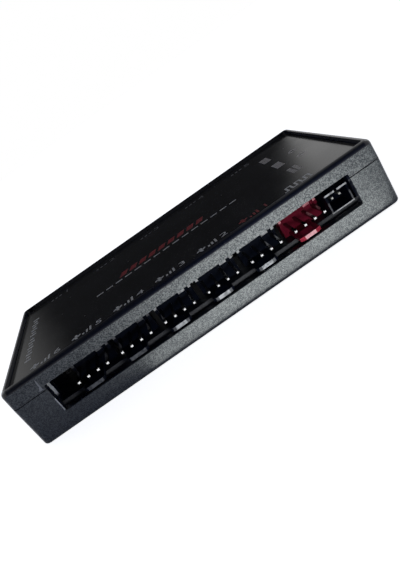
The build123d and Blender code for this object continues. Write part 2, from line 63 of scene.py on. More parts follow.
# %% [markdown]
# ## The camera
# A picture taken from close by has strong perspective, so the camera's place matters as much as its
# lens. Both were worked out from the outline of the case and the points of the pins. The picture is
# also tilted by more than a third of a right angle, and that tilt is a turn of the camera about its
# own line of sight. The three turns are written as matrices, because their order is then plain to see.

# %% Place the camera
CAMERA_PLACE = Vector((2.218, -134.779, 53.706)) * MM
CAMERA_HEADING = math.radians(0.740)
CAMERA_RISE = math.radians(68.472)
CAMERA_TILT = math.radians(-35.169)
FOCAL_LENGTH_PIXELS = 545.03
FRAME_HEIGHT_PIXELS = 570
SENSOR_MM = 36.0
NEAREST_SEEN = 0.01

bpy.ops.object.select_all(action="DESELECT")
heading = Matrix.Rotation(CAMERA_HEADING, 4, "Z")
rise = Matrix.Rotation(CAMERA_RISE, 4, "X")
tilt = Matrix.Rotation(CAMERA_TILT, 4, "Z")
bpy.ops.object.camera_add(location=CAMERA_PLACE, rotation=(heading @ rise @ tilt).to_euler())
camera = bpy.context.object
camera.name = "picture_camera"
camera.data.sensor_width = SENSOR_MM
camera.data.lens = FOCAL_LENGTH_PIXELS / FRAME_HEIGHT_PIXELS * SENSOR_MM
camera.data.clip_start = NEAREST_SEEN
bpy.context.scene.camera = camera
bpy.context.scene.view_settings.view_transform = "Standard"
print("lens:", round(camera.data.lens, 2), "mm")

# %% [markdown]
# ## Measures taken from the solids
# Marks and finishes have to sit on the solids to a tenth of a millimetre. Their places are therefore
# measured on the solids themselves wherever that is possible, and only the rest is written down.

# %% Measure the solids
def middle_of(node, axis):
    """The middle of a solid along one axis."""
    low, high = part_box(node)
    return (low[axis] + high[axis]) / 2


def reach_of(node):
    """How far a solid reaches from the hub's middle towards the front or the back."""
    low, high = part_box(node)
    return max(-low.y, high.y)


PIN_PITCH = 2.54 * MM
FAN_STEP = middle_of("fan_header_1", 0) - middle_of("fan_header_2", 0)
FIRST_TAB_X = middle_of("fan_header_1", 0) - PIN_PITCH / 2
BOARD_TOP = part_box("circuit_board")[1].z
HEADER_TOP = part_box("fan_header_1")[1].z
LABEL_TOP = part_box("label_panel")[1].z
print("step of the fan headers:", round(FAN_STEP / MM, 2), "label top:", round(LABEL_TOP / MM, 2), "mm")

# %% [markdown]
# ## Helpers for node trees
# A material is a tree of nodes. One helper adds a node, sets its options and fills its sockets, each
# with a plain value or with the output of an earlier node. With it, a material reads from top to
# bottom in the order in which its surface is worked out.

# %% Define the node helpers
def fill(tree, node, sockets):
    """Fill a node's sockets, each with a plain value or with a link."""
    for key, value in sockets.items():
        if isinstance(value, bpy.types.NodeSocket):
            tree.links.new(value, node.inputs[key])
        else:
            node.inputs[key].default_value = value
    return node


def add(tree, kind, sockets=None, **options):
    """Add a node, set its options and fill its sockets."""
    node = tree.nodes.new(kind)
    for option, value in options.items():
        setattr(node, option, value)
    return fill(tree, node, sockets or {})


print("node helpers ready")

# %% [markdown]
# ## Arithmetic on values
# Masks and tones are values between 0 and 1, and most of the work on them is arithmetic: masks are
# joined by multiplying them, a noise is stretched from one range to another, and a place along a row
# of equal pieces is folded to one step, so that one rule serves for every piece in the row.

# %% Define the arithmetic helpers
RISING = (0.0, 1.0)
FALLING = (1.0, 0.0)


def calculate(tree, operation, *values):
    """One step of arithmetic on values."""
    return add(tree, "ShaderNodeMath", dict(enumerate(values)), operation=operation).outputs[0]


def product(tree, first, *others):
    """Values multiplied together, which also joins masks into one."""
    for other in others:
        first = calculate(tree, "MULTIPLY", first, other)
    return first


def remap(tree, value, span, onto=RISING):
    """Stretch a span of values onto another one, smoothly and without overshoot."""
    node = add(tree, "ShaderNodeMapRange", interpolation_type="SMOOTHSTEP", sockets={
        "Value": value, "From Min": span[0], "From Max": span[1], "To Min": onto[0], "To Max": onto[1]})
    return node.outputs["Result"]


def within(tree, value, low, high):
    """1 where a value lies between two limits."""
    above = calculate(tree, "GREATER_THAN", value, low)
    return product(tree, above, calculate(tree, "LESS_THAN", value, high))


def fold(tree, value, middle, step):
    """A place along a row of equal steps, measured from the middle of its own step."""
    offset = calculate(tree, "SUBTRACT", value, middle - step / 2)
    return calculate(tree, "SUBTRACT", calculate(tree, "FLOORED_MODULO", offset, step), step / 2)


print("arithmetic helpers ready")

# %% [markdown]
# ## Noise, places and colours
# The last helpers for node trees give the raw material of every finish: a cloudy noise, the three
# coordinates of a place, and one colour laid over another.

# %% Define the pattern helpers
NOISE_DETAIL = 3.0


def noise(tree, place, per_metre, detail=NOISE_DETAIL):
    """A cloudy value that drifts from place to place."""
    return add(tree, "ShaderNodeTexNoise", {"Vector": place, "Scale": per_metre, "Detail": detail}).outputs[0]


def axes_of(tree, place):
    """The three coordinates of a place."""
    return add(tree, "ShaderNodeSeparateXYZ", {"Vector": place}).outputs


def mix_colour(tree, mask, under, over):
    """Lay one colour over another where the mask is 1."""
    return add(tree, "ShaderNodeMix", {0: mask, 6: under, 7: over}, data_type="RGBA").outputs[2]


print("pattern helpers ready")

# %% [markdown]
# ## Helpers for node groups
# An effect that several materials share is built once, as a node group with named sockets, and is
# then placed in each material with its own values. A group puts out only masks, tones and heights,
# and the shader stays in the material.

# %% Define the group helpers
VALUE = "NodeSocketFloat"
VECTOR = "NodeSocketVector"


def spaced(values):
    """Names with their underscores turned into the spaces that sockets have."""
    return {name.replace("_", " "): value for name, value in values.items()}


def new_group(name, inputs, outputs):
    """An empty node group with named sockets, and its two end nodes."""
    group = bpy.data.node_groups.new(name, "ShaderNodeTree")
    for socket, kind in inputs.items():
        group.interface.new_socket(socket, in_out="INPUT", socket_type=kind)
    for socket, kind in outputs.items():
        group.interface.new_socket(socket, in_out="OUTPUT", socket_type=kind)
    return group, add(group, "NodeGroupInput"), add(group, "NodeGroupOutput")


def use_group(tree, group, **values):
    """Place a node group in a tree with its own values."""
    return add(tree, "ShaderNodeGroup", spaced(values), node_tree=group).outputs


print("group helpers ready")

# %% [markdown]
# ## Helpers for materials
# Every material has one Principled shader and reads places in the hub's own frame, so that a pattern
# runs over the whole hub. Fine relief is given as a height, which the Bump node turns into a normal.

# %% Define the material helpers
def new_material(name):
    """A material with one Principled shader, and the place of each point in the hub's own frame."""
    material = bpy.data.materials.new(name)
    material.use_nodes = True
    tree = material.node_tree
    return material, tree, tree.nodes["Principled BSDF"], add(tree, "ShaderNodeTexCoord").outputs["Object"]


def set_shader(tree, shader, **values):
    """Fill the named sockets of a shader."""
    fill(tree, shader, spaced(values))


def bumped(tree, height, strength, distance):
    """The normal of a surface that a height makes uneven."""
    return add(tree, "ShaderNodeBump", {
        "Height": height, "Strength": strength, "Distance": distance}).outputs["Normal"]


print("material helpers ready")

# %% [markdown]
# ## Grain
# A spark-eroded mould leaves a fine, even grain on the plastic: shallow pits a third of a millimetre
# across that never repeat. It could be modelled as geometry, but millions of faces would carry no
# more than a bump does at this size. Two noises of different size make the pits. The same noise also
# gives a tone, because the bottoms of the pits hold less light.

# %% Build the grain group
COARSE_TO_FINE = 0.42
FINE_SHARE = 0.75
FINE_DETAIL = 2.0
COARSE_DETAIL = 1.0
GRAIN_TONES = (0.39, 0.63)

grain, ends_in, ends_out = new_group(
    "moulded_grain", {"Place": VECTOR, "Pits per metre": VALUE}, {"Height": VALUE, "Tone": VALUE})
place = ends_in.outputs["Place"]
density = ends_in.outputs["Pits per metre"]
fine = noise(grain, place, density, FINE_DETAIL)
coarse = noise(grain, place, product(grain, density, COARSE_TO_FINE), COARSE_DETAIL)
height = calculate(grain, "ADD", product(grain, fine, FINE_SHARE), product(grain, coarse, 1 - FINE_SHARE))
grain.links.new(height, ends_out.inputs["Height"])
grain.links.new(remap(grain, height, GRAIN_TONES), ends_out.inputs["Tone"])
print("group:", grain.name)

# %% [markdown]
# ## Mottle
# No moulded or plated surface is quite even: its tone and its gloss drift slowly from place to
# place. A noise with features some millimetres across gives that drift.

# %% Build the mottle group
MOTTLE_TONES = (0.3, 0.7)

mottle, ends_in, ends_out = new_group(
    "slow_mottle", {"Place": VECTOR, "Patches per metre": VALUE}, {"Amount": VALUE})
patches = noise(mottle, ends_in.outputs["Place"], ends_in.outputs["Patches per metre"])
mottle.links.new(remap(mottle, patches, MOTTLE_TONES), ends_out.inputs["Amount"])
print("group:", mottle.name)

# %% [markdown]
# ## Rubbed edges
# Handling polishes and pales the sharp edges of black plastic. The Bevel node looks round a point
# for edges closer than a given reach and turns the normal towards them. Where the turned normal and
# the true one differ, there is an edge, and a noise breaks the line up so that it looks rubbed.

# %% Build the rubbed-edge group
EDGE_AGREEMENT = (0.72, 0.97)
BREAKS_PER_METRE = 900.0
BREAK_TONES = (0.35, 0.7)
BEVEL_SAMPLES = 6

rubbed, ends_in, ends_out = new_group(
    "rubbed_edge", {"Place": VECTOR, "Reach": VALUE}, {"Mask": VALUE})
rounded = add(rubbed, "ShaderNodeBevel", {"Radius": ends_in.outputs["Reach"]}, samples=BEVEL_SAMPLES)
true_normal = add(rubbed, "ShaderNodeNewGeometry").outputs["Normal"]
agreement = add(rubbed, "ShaderNodeVectorMath", {
    0: rounded.outputs["Normal"], 1: true_normal}, operation="DOT_PRODUCT").outputs["Value"]
edge = remap(rubbed, agreement, EDGE_AGREEMENT, FALLING)
breaks = remap(rubbed, noise(rubbed, ends_in.outputs["Place"], BREAKS_PER_METRE), BREAK_TONES)
rubbed.links.new(product(rubbed, edge, breaks), ends_out.inputs["Mask"])
print("group:", rubbed.name)

# %% [markdown]
# ## Grained skin
# The case's mould is spark-eroded only where it shapes the outside. The outer walls and the
# underside are therefore grained, dull and greyish, while the inside, the openings and the rounded
# top edge came off polished steel and look blacker. The place of a point tells the two apart: the
# grained skin lies next to the faces of the hub's box and ends below the rounded edge.

# %% Build the skin group
SKIN = 0.45 * MM
POLISHED_FROM = (cad_box[1][2] - 1.15 * MM, cad_box[1][2] - 0.95 * MM)

skin, ends_in, ends_out = new_group("grained_skin", {"Place": VECTOR}, {"Mask": VALUE})
axes = axes_of(skin, ends_in.outputs["Place"])
along = calculate(skin, "GREATER_THAN", calculate(skin, "ABSOLUTE", axes["X"]), cad_box[1][0] - SKIN)
across = calculate(skin, "GREATER_THAN", calculate(skin, "ABSOLUTE", axes["Y"]), cad_box[1][1] - SKIN)
under = calculate(skin, "LESS_THAN", axes["Z"], SKIN)
outside = calculate(skin, "MAXIMUM", calculate(skin, "MAXIMUM", along, across), under)
below_edge = remap(skin, axes["Z"], POLISHED_FROM, FALLING)
skin.links.new(product(skin, outside, below_edge), ends_out.inputs["Mask"])
print("group:", skin.name)

# %% [markdown]
# ## Scraped wedge
# On the cover's front wall, beside the opening's upper left corner, the grain is scraped away in a
# pale wedge, widest at the opening and pointed above. A cut into the solid would be far too deep for
# it, so it is a change of colour. The wedge is drawn by its width at every height, measured from its
# upright right edge, and a noise makes its other side ragged.

# %% Define the scraped wedge
SCRAPE_RIGHT = -39.75 * MM
SCRAPE_FOOT = 11.6 * MM
SCRAPE_SHOULDER = 13.5 * MM
SCRAPE_TIP = 15.1 * MM
SCRAPE_WIDTH = 1.0 * MM
SCRAPE_SPIKE = 0.36 * MM
SCRAPE_RAGS_PER_METRE = 3000.0
SCRAPE_RAGGED = ((0.3, 0.7), (0.7, 1.1))


def at_front(tree, axes):
    """1 on the skin of the front wall."""
    return calculate(tree, "LESS_THAN", axes["Y"], cad_box[0][1] + SKIN)


def scrape_mask(tree, place):
    """A wedge on the front wall with an upright right edge, drawn out into a thin spike above."""
    axes = axes_of(tree, place)
    wedge = remap(tree, axes["Z"], (SCRAPE_FOOT, SCRAPE_SHOULDER), (SCRAPE_WIDTH, 0.0))
    spike = remap(tree, axes["Z"], (SCRAPE_SHOULDER, SCRAPE_TIP), (SCRAPE_SPIKE, 0.0))
    ragged = remap(tree, noise(tree, place, SCRAPE_RAGS_PER_METRE), *SCRAPE_RAGGED)
    width = product(tree, calculate(tree, "MAXIMUM", wedge, spike), ragged)
    inside = within(tree, calculate(tree, "SUBTRACT", SCRAPE_RIGHT, axes["X"]), 0.0, width)
    above = calculate(tree, "GREATER_THAN", axes["Z"], SCRAPE_FOOT)
    return product(tree, inside, above, at_front(tree, axes))


print("scrape:", round((SCRAPE_TIP - SCRAPE_FOOT) / MM, 2), "mm high")

# %% [markdown]
# ## Painted highlights on the post and the jamb
# Behind the same corner an upright painted highlight runs down the cover's screw post, on the side
# towards the opening. Below it, a pale painted highlight lies along the edge of the tray's opening. The
# highlight is kept to the post by its distance from the post's axis, and the jamb is a plain range of places.

# %% Define the painted highlights on the post and the jamb
POST_HIGHLIGHT_AXIS = (-42.27 * MM, -18.3 * MM)
POST_REACH = 2.45 * MM
POST_HIGHLIGHT_OFFSET = 1.95 * MM
POST_HIGHLIGHT_WIDTH = 0.48 * MM
POST_HIGHLIGHT_RAGS_PER_METRE = 1500.0
POST_HIGHLIGHT_FOOT = (5.8 * MM, 6.8 * MM)
JAMB_ACROSS = (-39.36 * MM, -38.9 * MM)
JAMB_HEIGHTS = (4.7 * MM, 8.3 * MM)


def drag_mask(tree, place):
    """A ragged upright painted highlight on the left front screw post."""
    axes = axes_of(tree, place)
    along = calculate(tree, "SUBTRACT", axes["X"], POST_HIGHLIGHT_AXIS[0])
    aside = calculate(tree, "SUBTRACT", axes["Y"], POST_HIGHLIGHT_AXIS[1])
    squares = calculate(tree, "ADD", product(tree, aside, aside), product(tree, along, along))
    on_post = calculate(tree, "LESS_THAN", calculate(tree, "SQRT", squares), POST_REACH)
    width = product(tree, noise(tree, place, POST_HIGHLIGHT_RAGS_PER_METRE), POST_HIGHLIGHT_WIDTH)
    from_streak = calculate(tree, "ABSOLUTE", calculate(tree, "SUBTRACT", along, POST_HIGHLIGHT_OFFSET))
    streak = calculate(tree, "LESS_THAN", from_streak, width)
    return product(tree, on_post, streak, remap(tree, axes["Z"], POST_HIGHLIGHT_FOOT))


def jamb_mask(tree, place):
    """A narrow painted highlight along the left edge of the front opening."""
    axes = axes_of(tree, place)
    beside = within(tree, axes["X"], *JAMB_ACROSS)
    return product(tree, at_front(tree, axes), beside, within(tree, axes["Z"], *JAMB_HEIGHTS))


print("streak:", round(POST_HIGHLIGHT_WIDTH / MM, 2), "mm wide, jamb:", JAMB_HEIGHTS)

# %% [markdown]
# ## Case plastic
# The tray and the cover are moulded in one black plastic. Outside, the grain gives it a pepper of
# dark and greyish tones and a dull face. Inside and round the top edge it is nearly black, and a
# clear coat gives those places the shine that polished steel leaves. The two halves come from two
# moulds whose grains differ a little in size, so each gets a material of its own, with its own marks
# on the grained skin or on the polished inside: a scrape, and painted highlights on the post and the jamb.

# %% Make the case plastic
CASE_DARK = (0.042, 0.045, 0.05, 1)
CASE_PALE = (0.15, 0.156, 0.158, 1)
CASE_RUBBED = (0.2, 0.205, 0.21, 1)
CASE_SCRAPED = (0.3, 0.3, 0.31, 1)
CASE_POLISHED = (0.0035, 0.0048, 0.011, 1)
POST_HIGHLIGHT_COLOUR = (0.85, 0.85, 0.86, 1)
JAMB_HIGHLIGHT_COLOUR = (0.65, 0.65, 0.66, 1)
CASE_PATCHES_PER_METRE = 160.0
CASE_EDGE_REACH = 0.25 * MM
CASE_EDGE_WEAR = 0.3
GRAINED_GLOSS = (0.55, 0.65)
POLISHED_GLOSS = (0.26, 0.34)
CASE_BUMP = (0.7, 0.08 * MM)
CASE_SPECULAR = 0.14
POLISHED_COAT = 0.4
COAT_ROUGHNESS = 0.2
TRAY_PITS_PER_METRE = 4300.0
COVER_PITS_PER_METRE = 3700.0


def case_plastic(name, pits_per_metre, outer_marks=(), inner_marks=()):
    """Black plastic, grained outside and polished inside, with marks on either."""
    material, tree, shader, place = new_material(name)
    outside = use_group(tree, skin, Place=place)["Mask"]
    pits = use_group(tree, grain, Place=place, Pits_per_metre=pits_per_metre)
    drift = use_group(tree, mottle, Place=place, Patches_per_metre=CASE_PATCHES_PER_METRE)["Amount"]
    worn = use_group(tree, rubbed, Place=place, Reach=CASE_EDGE_REACH)["Mask"]
    grained = mix_colour(tree, pits["Tone"], CASE_DARK, CASE_PALE)
    grained = mix_colour(tree, product(tree, worn, CASE_EDGE_WEAR), grained, CASE_RUBBED)
    smooth = CASE_POLISHED
    for mark, colour in outer_marks:
        grained = mix_colour(tree, mark(tree, place), grained, colour)
    for mark, colour in inner_marks:
        smooth = mix_colour(tree, mark(tree, place), smooth, colour)
    gloss = add(tree, "ShaderNodeMix", {
        0: outside, 2: remap(tree, drift, RISING, POLISHED_GLOSS),
        3: remap(tree, drift, RISING, GRAINED_GLOSS)}).outputs[0]
    normal = bumped(tree, product(tree, pits["Height"], outside), *CASE_BUMP)
    set_shader(tree, shader, Base_Color=mix_colour(tree, outside, smooth, grained), Roughness=gloss,
               Normal=normal, Specular_IOR_Level=CASE_SPECULAR, Coat_Roughness=COAT_ROUGHNESS,
               Coat_Weight=product(tree, calculate(tree, "SUBTRACT", 1.0, outside), POLISHED_COAT))
    return material


# The tray gets a painted highlight on its jamb; the cover gets a scrape outside and a painted highlight on
# its post.
tray_plastic = case_plastic("tray_plastic", TRAY_PITS_PER_METRE, [(jamb_mask, JAMB_HIGHLIGHT_COLOUR)])
cover_plastic = case_plastic("cover_plastic", COVER_PITS_PER_METRE, [(scrape_mask, CASE_SCRAPED)],
                             [(drag_mask, POST_HIGHLIGHT_COLOUR)])
print("materials:", tray_plastic.name, cover_plastic.name)

# %% [markdown]
# ## Label sheet
# The label is a thin sheet of black film with a hard, shiny face. It reads as black only because it
# mirrors dark surroundings, so its own colour is nearly nothing and its gloss does the work. A faint
# ripple keeps the mirror from being perfect. A glossy black sheet also shows every speck of dust:
# each cell of a Voronoi pattern has one point in it, and a speck is drawn round that point where the
# cell's own random colour says so.

# %% Make the label film
LABEL_BLACK = (0.007, 0.0072, 0.008, 1)
LABEL_WORN = (0.011, 0.0113, 0.0125, 1)
LABEL_GLOSS = (0.13, 0.17)
LABEL_BUMP = (0.02, 0.05 * MM)
LABEL_SPECULAR = 0.35
RIPPLES_PER_METRE = 120.0
LABEL_PATCHES_PER_METRE = 90.0
DUST_COLOUR = (0.035, 0.035, 0.036, 1)
DUST_CELLS_PER_METRE = 420.0
DUST_SHARE = 0.05
DUST_EDGE = (0.03, 0.11)
DUST_DULLNESS = 0.5


def dust_mask(tree, place):
    """Small specks, one in a few of the cells of a Voronoi pattern."""
    cells = add(tree, "ShaderNodeTexVoronoi", {"Vector": place, "Scale": DUST_CELLS_PER_METRE}).outputs
    near_point = remap(tree, cells["Distance"], DUST_EDGE, FALLING)
    lot = add(tree, "ShaderNodeSeparateColor", {"Color": cells["Color"]}).outputs[0]
    return product(tree, near_point, calculate(tree, "LESS_THAN", lot, DUST_SHARE))


def label_film():
    """Shiny black film with a faint ripple, a slow drift of gloss and specks of dust."""
    material, tree, shader, place = new_material("glossy_label")
    ripple = use_group(tree, grain, Place=place, Pits_per_metre=RIPPLES_PER_METRE)["Height"]
    drift = use_group(tree, mottle, Place=place, Patches_per_metre=LABEL_PATCHES_PER_METRE)["Amount"]
    specks = dust_mask(tree, place)
    colour = mix_colour(tree, drift, LABEL_BLACK, LABEL_WORN)
    gloss = calculate(tree, "ADD", remap(tree, drift, RISING, LABEL_GLOSS),
                      product(tree, specks, DUST_DULLNESS))
    set_shader(tree, shader, Base_Color=mix_colour(tree, specks, colour, DUST_COLOUR), Roughness=gloss,
               Normal=bumped(tree, ripple, *LABEL_BUMP), Specular_IOR_Level=LABEL_SPECULAR)
    return material


label_finish = label_film()
print("material:", label_finish.name)

# %% [markdown]
# ## Painted highlights on the connectors
# The fronts of the locking tabs, the upper ends of the keys and the rim of the control socket's mouth
# catch the light, and that glare is painted into their colour as pale patches. Those faces all look out
# of the hub, so a painted highlight is a range of places, cut down to faces that look outwards. The fan
# headers stand in equal steps. The place across is folded to one step, and one range serves them all.

# %% Build the painted-highlight group
OUTWARD = 0.8
HIGHLIGHT_BREAKS_PER_METRE = 1100.0
HIGHLIGHT_DETAIL = 2.0
HIGHLIGHT_STRENGTH = ((0.35, 0.6), (0.45, 1.0))
HIGHLIGHT_LIMITS = ("Left", "Right", "Inner", "Outer", "Bottom", "Top")

# The group's mask marks where a painted highlight lies on a connector.
highlighted, ends_in, ends_out = new_group(
    "painted_highlight", {"Place": VECTOR, **{limit: VALUE for limit in HIGHLIGHT_LIMITS}}, {"Mask": VALUE})
place = ends_in.outputs["Place"]
left, right, inner, outer, bottom, top = [ends_in.outputs[limit] for limit in HIGHLIGHT_LIMITS]
axes = axes_of(highlighted, place)
facing = axes_of(highlighted, add(highlighted, "ShaderNodeTexCoord").outputs["Normal"])["Y"]
outward = calculate(highlighted, "GREATER_THAN", calculate(highlighted, "ABSOLUTE", facing), OUTWARD)
patch = product(highlighted, within(highlighted, fold(highlighted, axes["X"], FIRST_TAB_X, FAN_STEP), left, right),
                within(highlighted, calculate(highlighted, "ABSOLUTE", axes["Y"]), inner, outer),
                within(highlighted, axes["Z"], bottom, top))
strength = remap(highlighted, noise(highlighted, place, HIGHLIGHT_BREAKS_PER_METRE, HIGHLIGHT_DETAIL), *HIGHLIGHT_STRENGTH)
highlighted.links.new(product(highlighted, outward, patch, strength), ends_out.inputs["Mask"])
print("group:", highlighted.name)

# %% [markdown]
# ## Connector plastics
# The headers and sockets are smooth mouldings: black for most of them, and red for the first fan's.
# A smooth moulding still has faint flow marks, a slow drift of gloss and slightly rubbed edges. One
# function makes them all, and each call has its own colours and its own list of painted highlights.

# %% Define the connector plastic
FLOW_MARKS_PER_METRE = 1500.0
FLOW_DULLNESS = 0.1
PLASTIC_PATCHES_PER_METRE = 350.0
PLASTIC_EDGE_REACH = 0.16 * MM
PLASTIC_EDGE_WEAR = 0.8
PLASTIC_BUMP = (0.12, 0.05 * MM)
PLASTIC_SPECULAR = 0.04


def moulded_plastic(name, dark, pale, edge, gloss, highlights=()):
    """Smooth moulded plastic with faint flow marks, rubbed edges and patches of painted highlight."""
    material, tree, shader, place = new_material(name)
    flow = use_group(tree, grain, Place=place, Pits_per_metre=FLOW_MARKS_PER_METRE)
    drift = use_group(tree, mottle, Place=place, Patches_per_metre=PLASTIC_PATCHES_PER_METRE)["Amount"]
    worn = use_group(tree, rubbed, Place=place, Reach=PLASTIC_EDGE_REACH)["Mask"]
    colour = mix_colour(tree, drift, dark, pale)
    colour = mix_colour(tree, product(tree, worn, PLASTIC_EDGE_WEAR), colour, edge)
    # Each entry lays one painted highlight over the plastic's colour.
    for highlight_colour, limits in highlights:
        patch = use_group(tree, highlighted, Place=place, **limits)["Mask"]
        colour = mix_colour(tree, patch, colour, highlight_colour)
    roughness = calculate(tree, "ADD", product(tree, flow["Tone"], FLOW_DULLNESS), gloss)
    set_shader(tree, shader, Base_Color=colour, Roughness=roughness,
               Normal=bumped(tree, flow["Height"], *PLASTIC_BUMP), Specular_IOR_Level=PLASTIC_SPECULAR)
    return material


print("connector plastic defined")

# %% [markdown]
# ## Places of the painted highlights
# On the fan headers the fronts of the tabs and the upper ends of the keys get painted highlights. The
# control socket has a painted highlight along the bottom of its mouth, fainter ones up its sides, and one
# along the top, which its keying slot parts. Each place is a set of limits for the highlight group,
# measured on the solids.

# %% Lay out the painted highlights
SLACK = 0.1 * MM
TAB_CLIP = 0.6 * MM
TAB_RISE = 1.0 * MM
TAB_HALF = 2.1 * MM
TAB_CORE = 1.4 * MM
KEY_PLACE = (17.6 * MM, 18.6 * MM)
KEY_HIGHLIGHT_LENGTH = 1.4 * MM
MOUTH_LINES = (0.05 * MM, 0.35 * MM, 0.48 * MM)
MOUTH_SIDE_RISE = 2.9 * MM
tab_front = reach_of("fan_header_1")
mouth = reach_of("control_socket")
mouth_low, mouth_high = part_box("control_socket")


def within_step(x):
    """A place across the hub, measured from the tab in its own step, as the highlight group folds it."""
    return (x - FIRST_TAB_X + FAN_STEP / 2) % FAN_STEP - FAN_STEP / 2


TAB_FRONT = {"Left": -FAN_STEP, "Right": FAN_STEP, "Inner": tab_front - TAB_CLIP,
             "Outer": tab_front + SLACK, "Bottom": BOARD_TOP, "Top": BOARD_TOP + TAB_RISE}
TAB_HIGHLIGHT_WIDE = {**TAB_FRONT, "Left": -TAB_HALF, "Right": TAB_HALF}
TAB_MIDDLE = {**TAB_FRONT, "Left": -TAB_CORE, "Right": TAB_CORE}
KEY_ENDS = {"Left": -FAN_STEP, "Right": FAN_STEP, "Inner": KEY_PLACE[0], "Outer": KEY_PLACE[1],
            "Bottom": HEADER_TOP - KEY_HIGHLIGHT_LENGTH, "Top": HEADER_TOP + SLACK}
MOUTH_SILL = {"Left": -FAN_STEP, "Right": FAN_STEP, "Inner": mouth - SLACK, "Outer": mouth + SLACK,
              "Bottom": mouth_low.z + MOUTH_LINES[0], "Top": mouth_low.z + MOUTH_LINES[1]}
MOUTH_LINTEL = {**MOUTH_SILL, "Bottom": mouth_high.z - MOUTH_LINES[2], "Top": mouth_high.z - MOUTH_LINES[0]}
MOUTH_LEFT = {**MOUTH_SILL, "Left": within_step(mouth_low.x), "Top": mouth_low.z + MOUTH_SIDE_RISE,
              "Right": within_step(mouth_low.x) + MOUTH_LINES[1]}
MOUTH_RIGHT = {**MOUTH_LEFT, "Left": within_step(mouth_high.x) - MOUTH_LINES[1],
               "Right": within_step(mouth_high.x)}
print("tabs reach", round(tab_front / MM, 2), "mm, the mouth", round(mouth / MM, 2), "mm from the middle")

# %% [markdown]
# ## Headers and sockets
# The tabs get a white painted highlight in the middle and a grey one towards their clipped ends. The two
# headers on the left get less light, so their painted highlights are fainter. On the red plastic the
# painted highlight is pink. The inlet and the chips have plastics of their own, without painted highlights.

# %% Make the connector plastics
# The pale colours below are painted highlights on the tabs, the keys and the socket's mouth.
PALE_HIGHLIGHT = (0.62, 0.62, 0.63, 1)
GREY_HIGHLIGHT = (0.17, 0.17, 0.18, 1)
FAINT_HIGHLIGHT = (0.15, 0.15, 0.16, 1)
RED_HIGHLIGHT = (0.5, 0.05, 0.08, 1)
PINK_HIGHLIGHT = (0.95, 0.5, 0.52, 1)
KEY_GREY_HIGHLIGHT = (0.5, 0.5, 0.51, 1)
KEY_PINK_HIGHLIGHT = (0.7, 0.28, 0.31, 1)
BLACK_SHADES = ((0.001, 0.0018, 0.0052, 1), (0.002, 0.0032, 0.008, 1), (0.028, 0.031, 0.04, 1))
RED_SHADES = ((0.085, 0.004, 0.012, 1), (0.12, 0.007, 0.02, 1), (0.3, 0.05, 0.06, 1))
INLET_SHADES = ((0.012, 0.012, 0.013, 1), (0.022, 0.022, 0.024, 1), (0.07, 0.07, 0.07, 1))
RESIN_SHADES = ((0.014, 0.014, 0.015, 1), (0.024, 0.024, 0.025, 1), (0.05, 0.05, 0.05, 1))
HEADER_GLOSS = 0.3
INLET_GLOSS = 0.38
RESIN_GLOSS = 0.5

header_black = moulded_plastic("header_black", *BLACK_SHADES, HEADER_GLOSS, [
    (GREY_HIGHLIGHT, TAB_HIGHLIGHT_WIDE), (PALE_HIGHLIGHT, TAB_MIDDLE), (KEY_GREY_HIGHLIGHT, KEY_ENDS)])
# Fans 5 and 6 get the same painted highlights, fainter, because less light reaches them.
header_dim_highlight = moulded_plastic("header_dim_highlight", *BLACK_SHADES, HEADER_GLOSS, [
    (FAINT_HIGHLIGHT, TAB_HIGHLIGHT_WIDE), (GREY_HIGHLIGHT, KEY_ENDS)])
header_red = moulded_plastic("header_red", *RED_SHADES, HEADER_GLOSS, [
    (RED_HIGHLIGHT, TAB_FRONT), (PINK_HIGHLIGHT, TAB_MIDDLE), (KEY_PINK_HIGHLIGHT, KEY_ENDS)])
socket_black = moulded_plastic("socket_black", *BLACK_SHADES, HEADER_GLOSS, [
    (GREY_HIGHLIGHT, MOUTH_LEFT), (GREY_HIGHLIGHT, MOUTH_RIGHT),
    (PALE_HIGHLIGHT, MOUTH_SILL), (PALE_HIGHLIGHT, MOUTH_LINTEL)])
inlet_black = moulded_plastic("inlet_black", *INLET_SHADES, INLET_GLOSS)
chip_resin = moulded_plastic("chip_resin", *RESIN_SHADES, RESIN_GLOSS)
print("plastics:", header_black.name, header_dim_highlight.name, header_red.name, socket_black.name)

# %% [markdown]
# ## Plated metals
# Screws and capacitor cans are metal: the colour is the mirror's own, and roughness tells plating
# from formed metal. A fine grain and a slow drift keep each of them from looking like chrome.

# %% Make the screw steel and the can metal
METAL_PATCHES_PER_METRE = 700.0
METAL_DULLNESS = 0.16
METAL_BUMP = (0.1, 0.02 * MM)
STEEL_TONES = ((0.2, 0.2, 0.21, 1), (0.1, 0.1, 0.11, 1))
STEEL_GLOSS = 0.28
STEEL_LINES_PER_METRE = 2200.0
CAN_TONES = ((0.72, 0.73, 0.74, 1), (0.55, 0.56, 0.58, 1))
CAN_GLOSS = 0.3
CAN_LINES_PER_METRE = 2600.0


def plated_metal(name, bright, dull, gloss, lines_per_metre):
    """Metal with a drifting tone and a fine grain in its gloss."""
    material, tree, shader, place = new_material(name)
    lines = use_group(tree, grain, Place=place, Pits_per_metre=lines_per_metre)
    drift = use_group(tree, mottle, Place=place, Patches_per_metre=METAL_PATCHES_PER_METRE)["Amount"]
    roughness = calculate(tree, "ADD", product(tree, lines["Tone"], METAL_DULLNESS), gloss)
    set_shader(tree, shader, Base_Color=mix_colour(tree, drift, bright, dull), Metallic=1.0,
               Roughness=roughness, Normal=bumped(tree, lines["Height"], *METAL_BUMP))
    return material


screw_steel = plated_metal("blackened_steel", *STEEL_TONES, STEEL_GLOSS, STEEL_LINES_PER_METRE)
can_metal = plated_metal("can_aluminium", *CAN_TONES, CAN_GLOSS, CAN_LINES_PER_METRE)
print("metals:", screw_steel.name, can_metal.name)

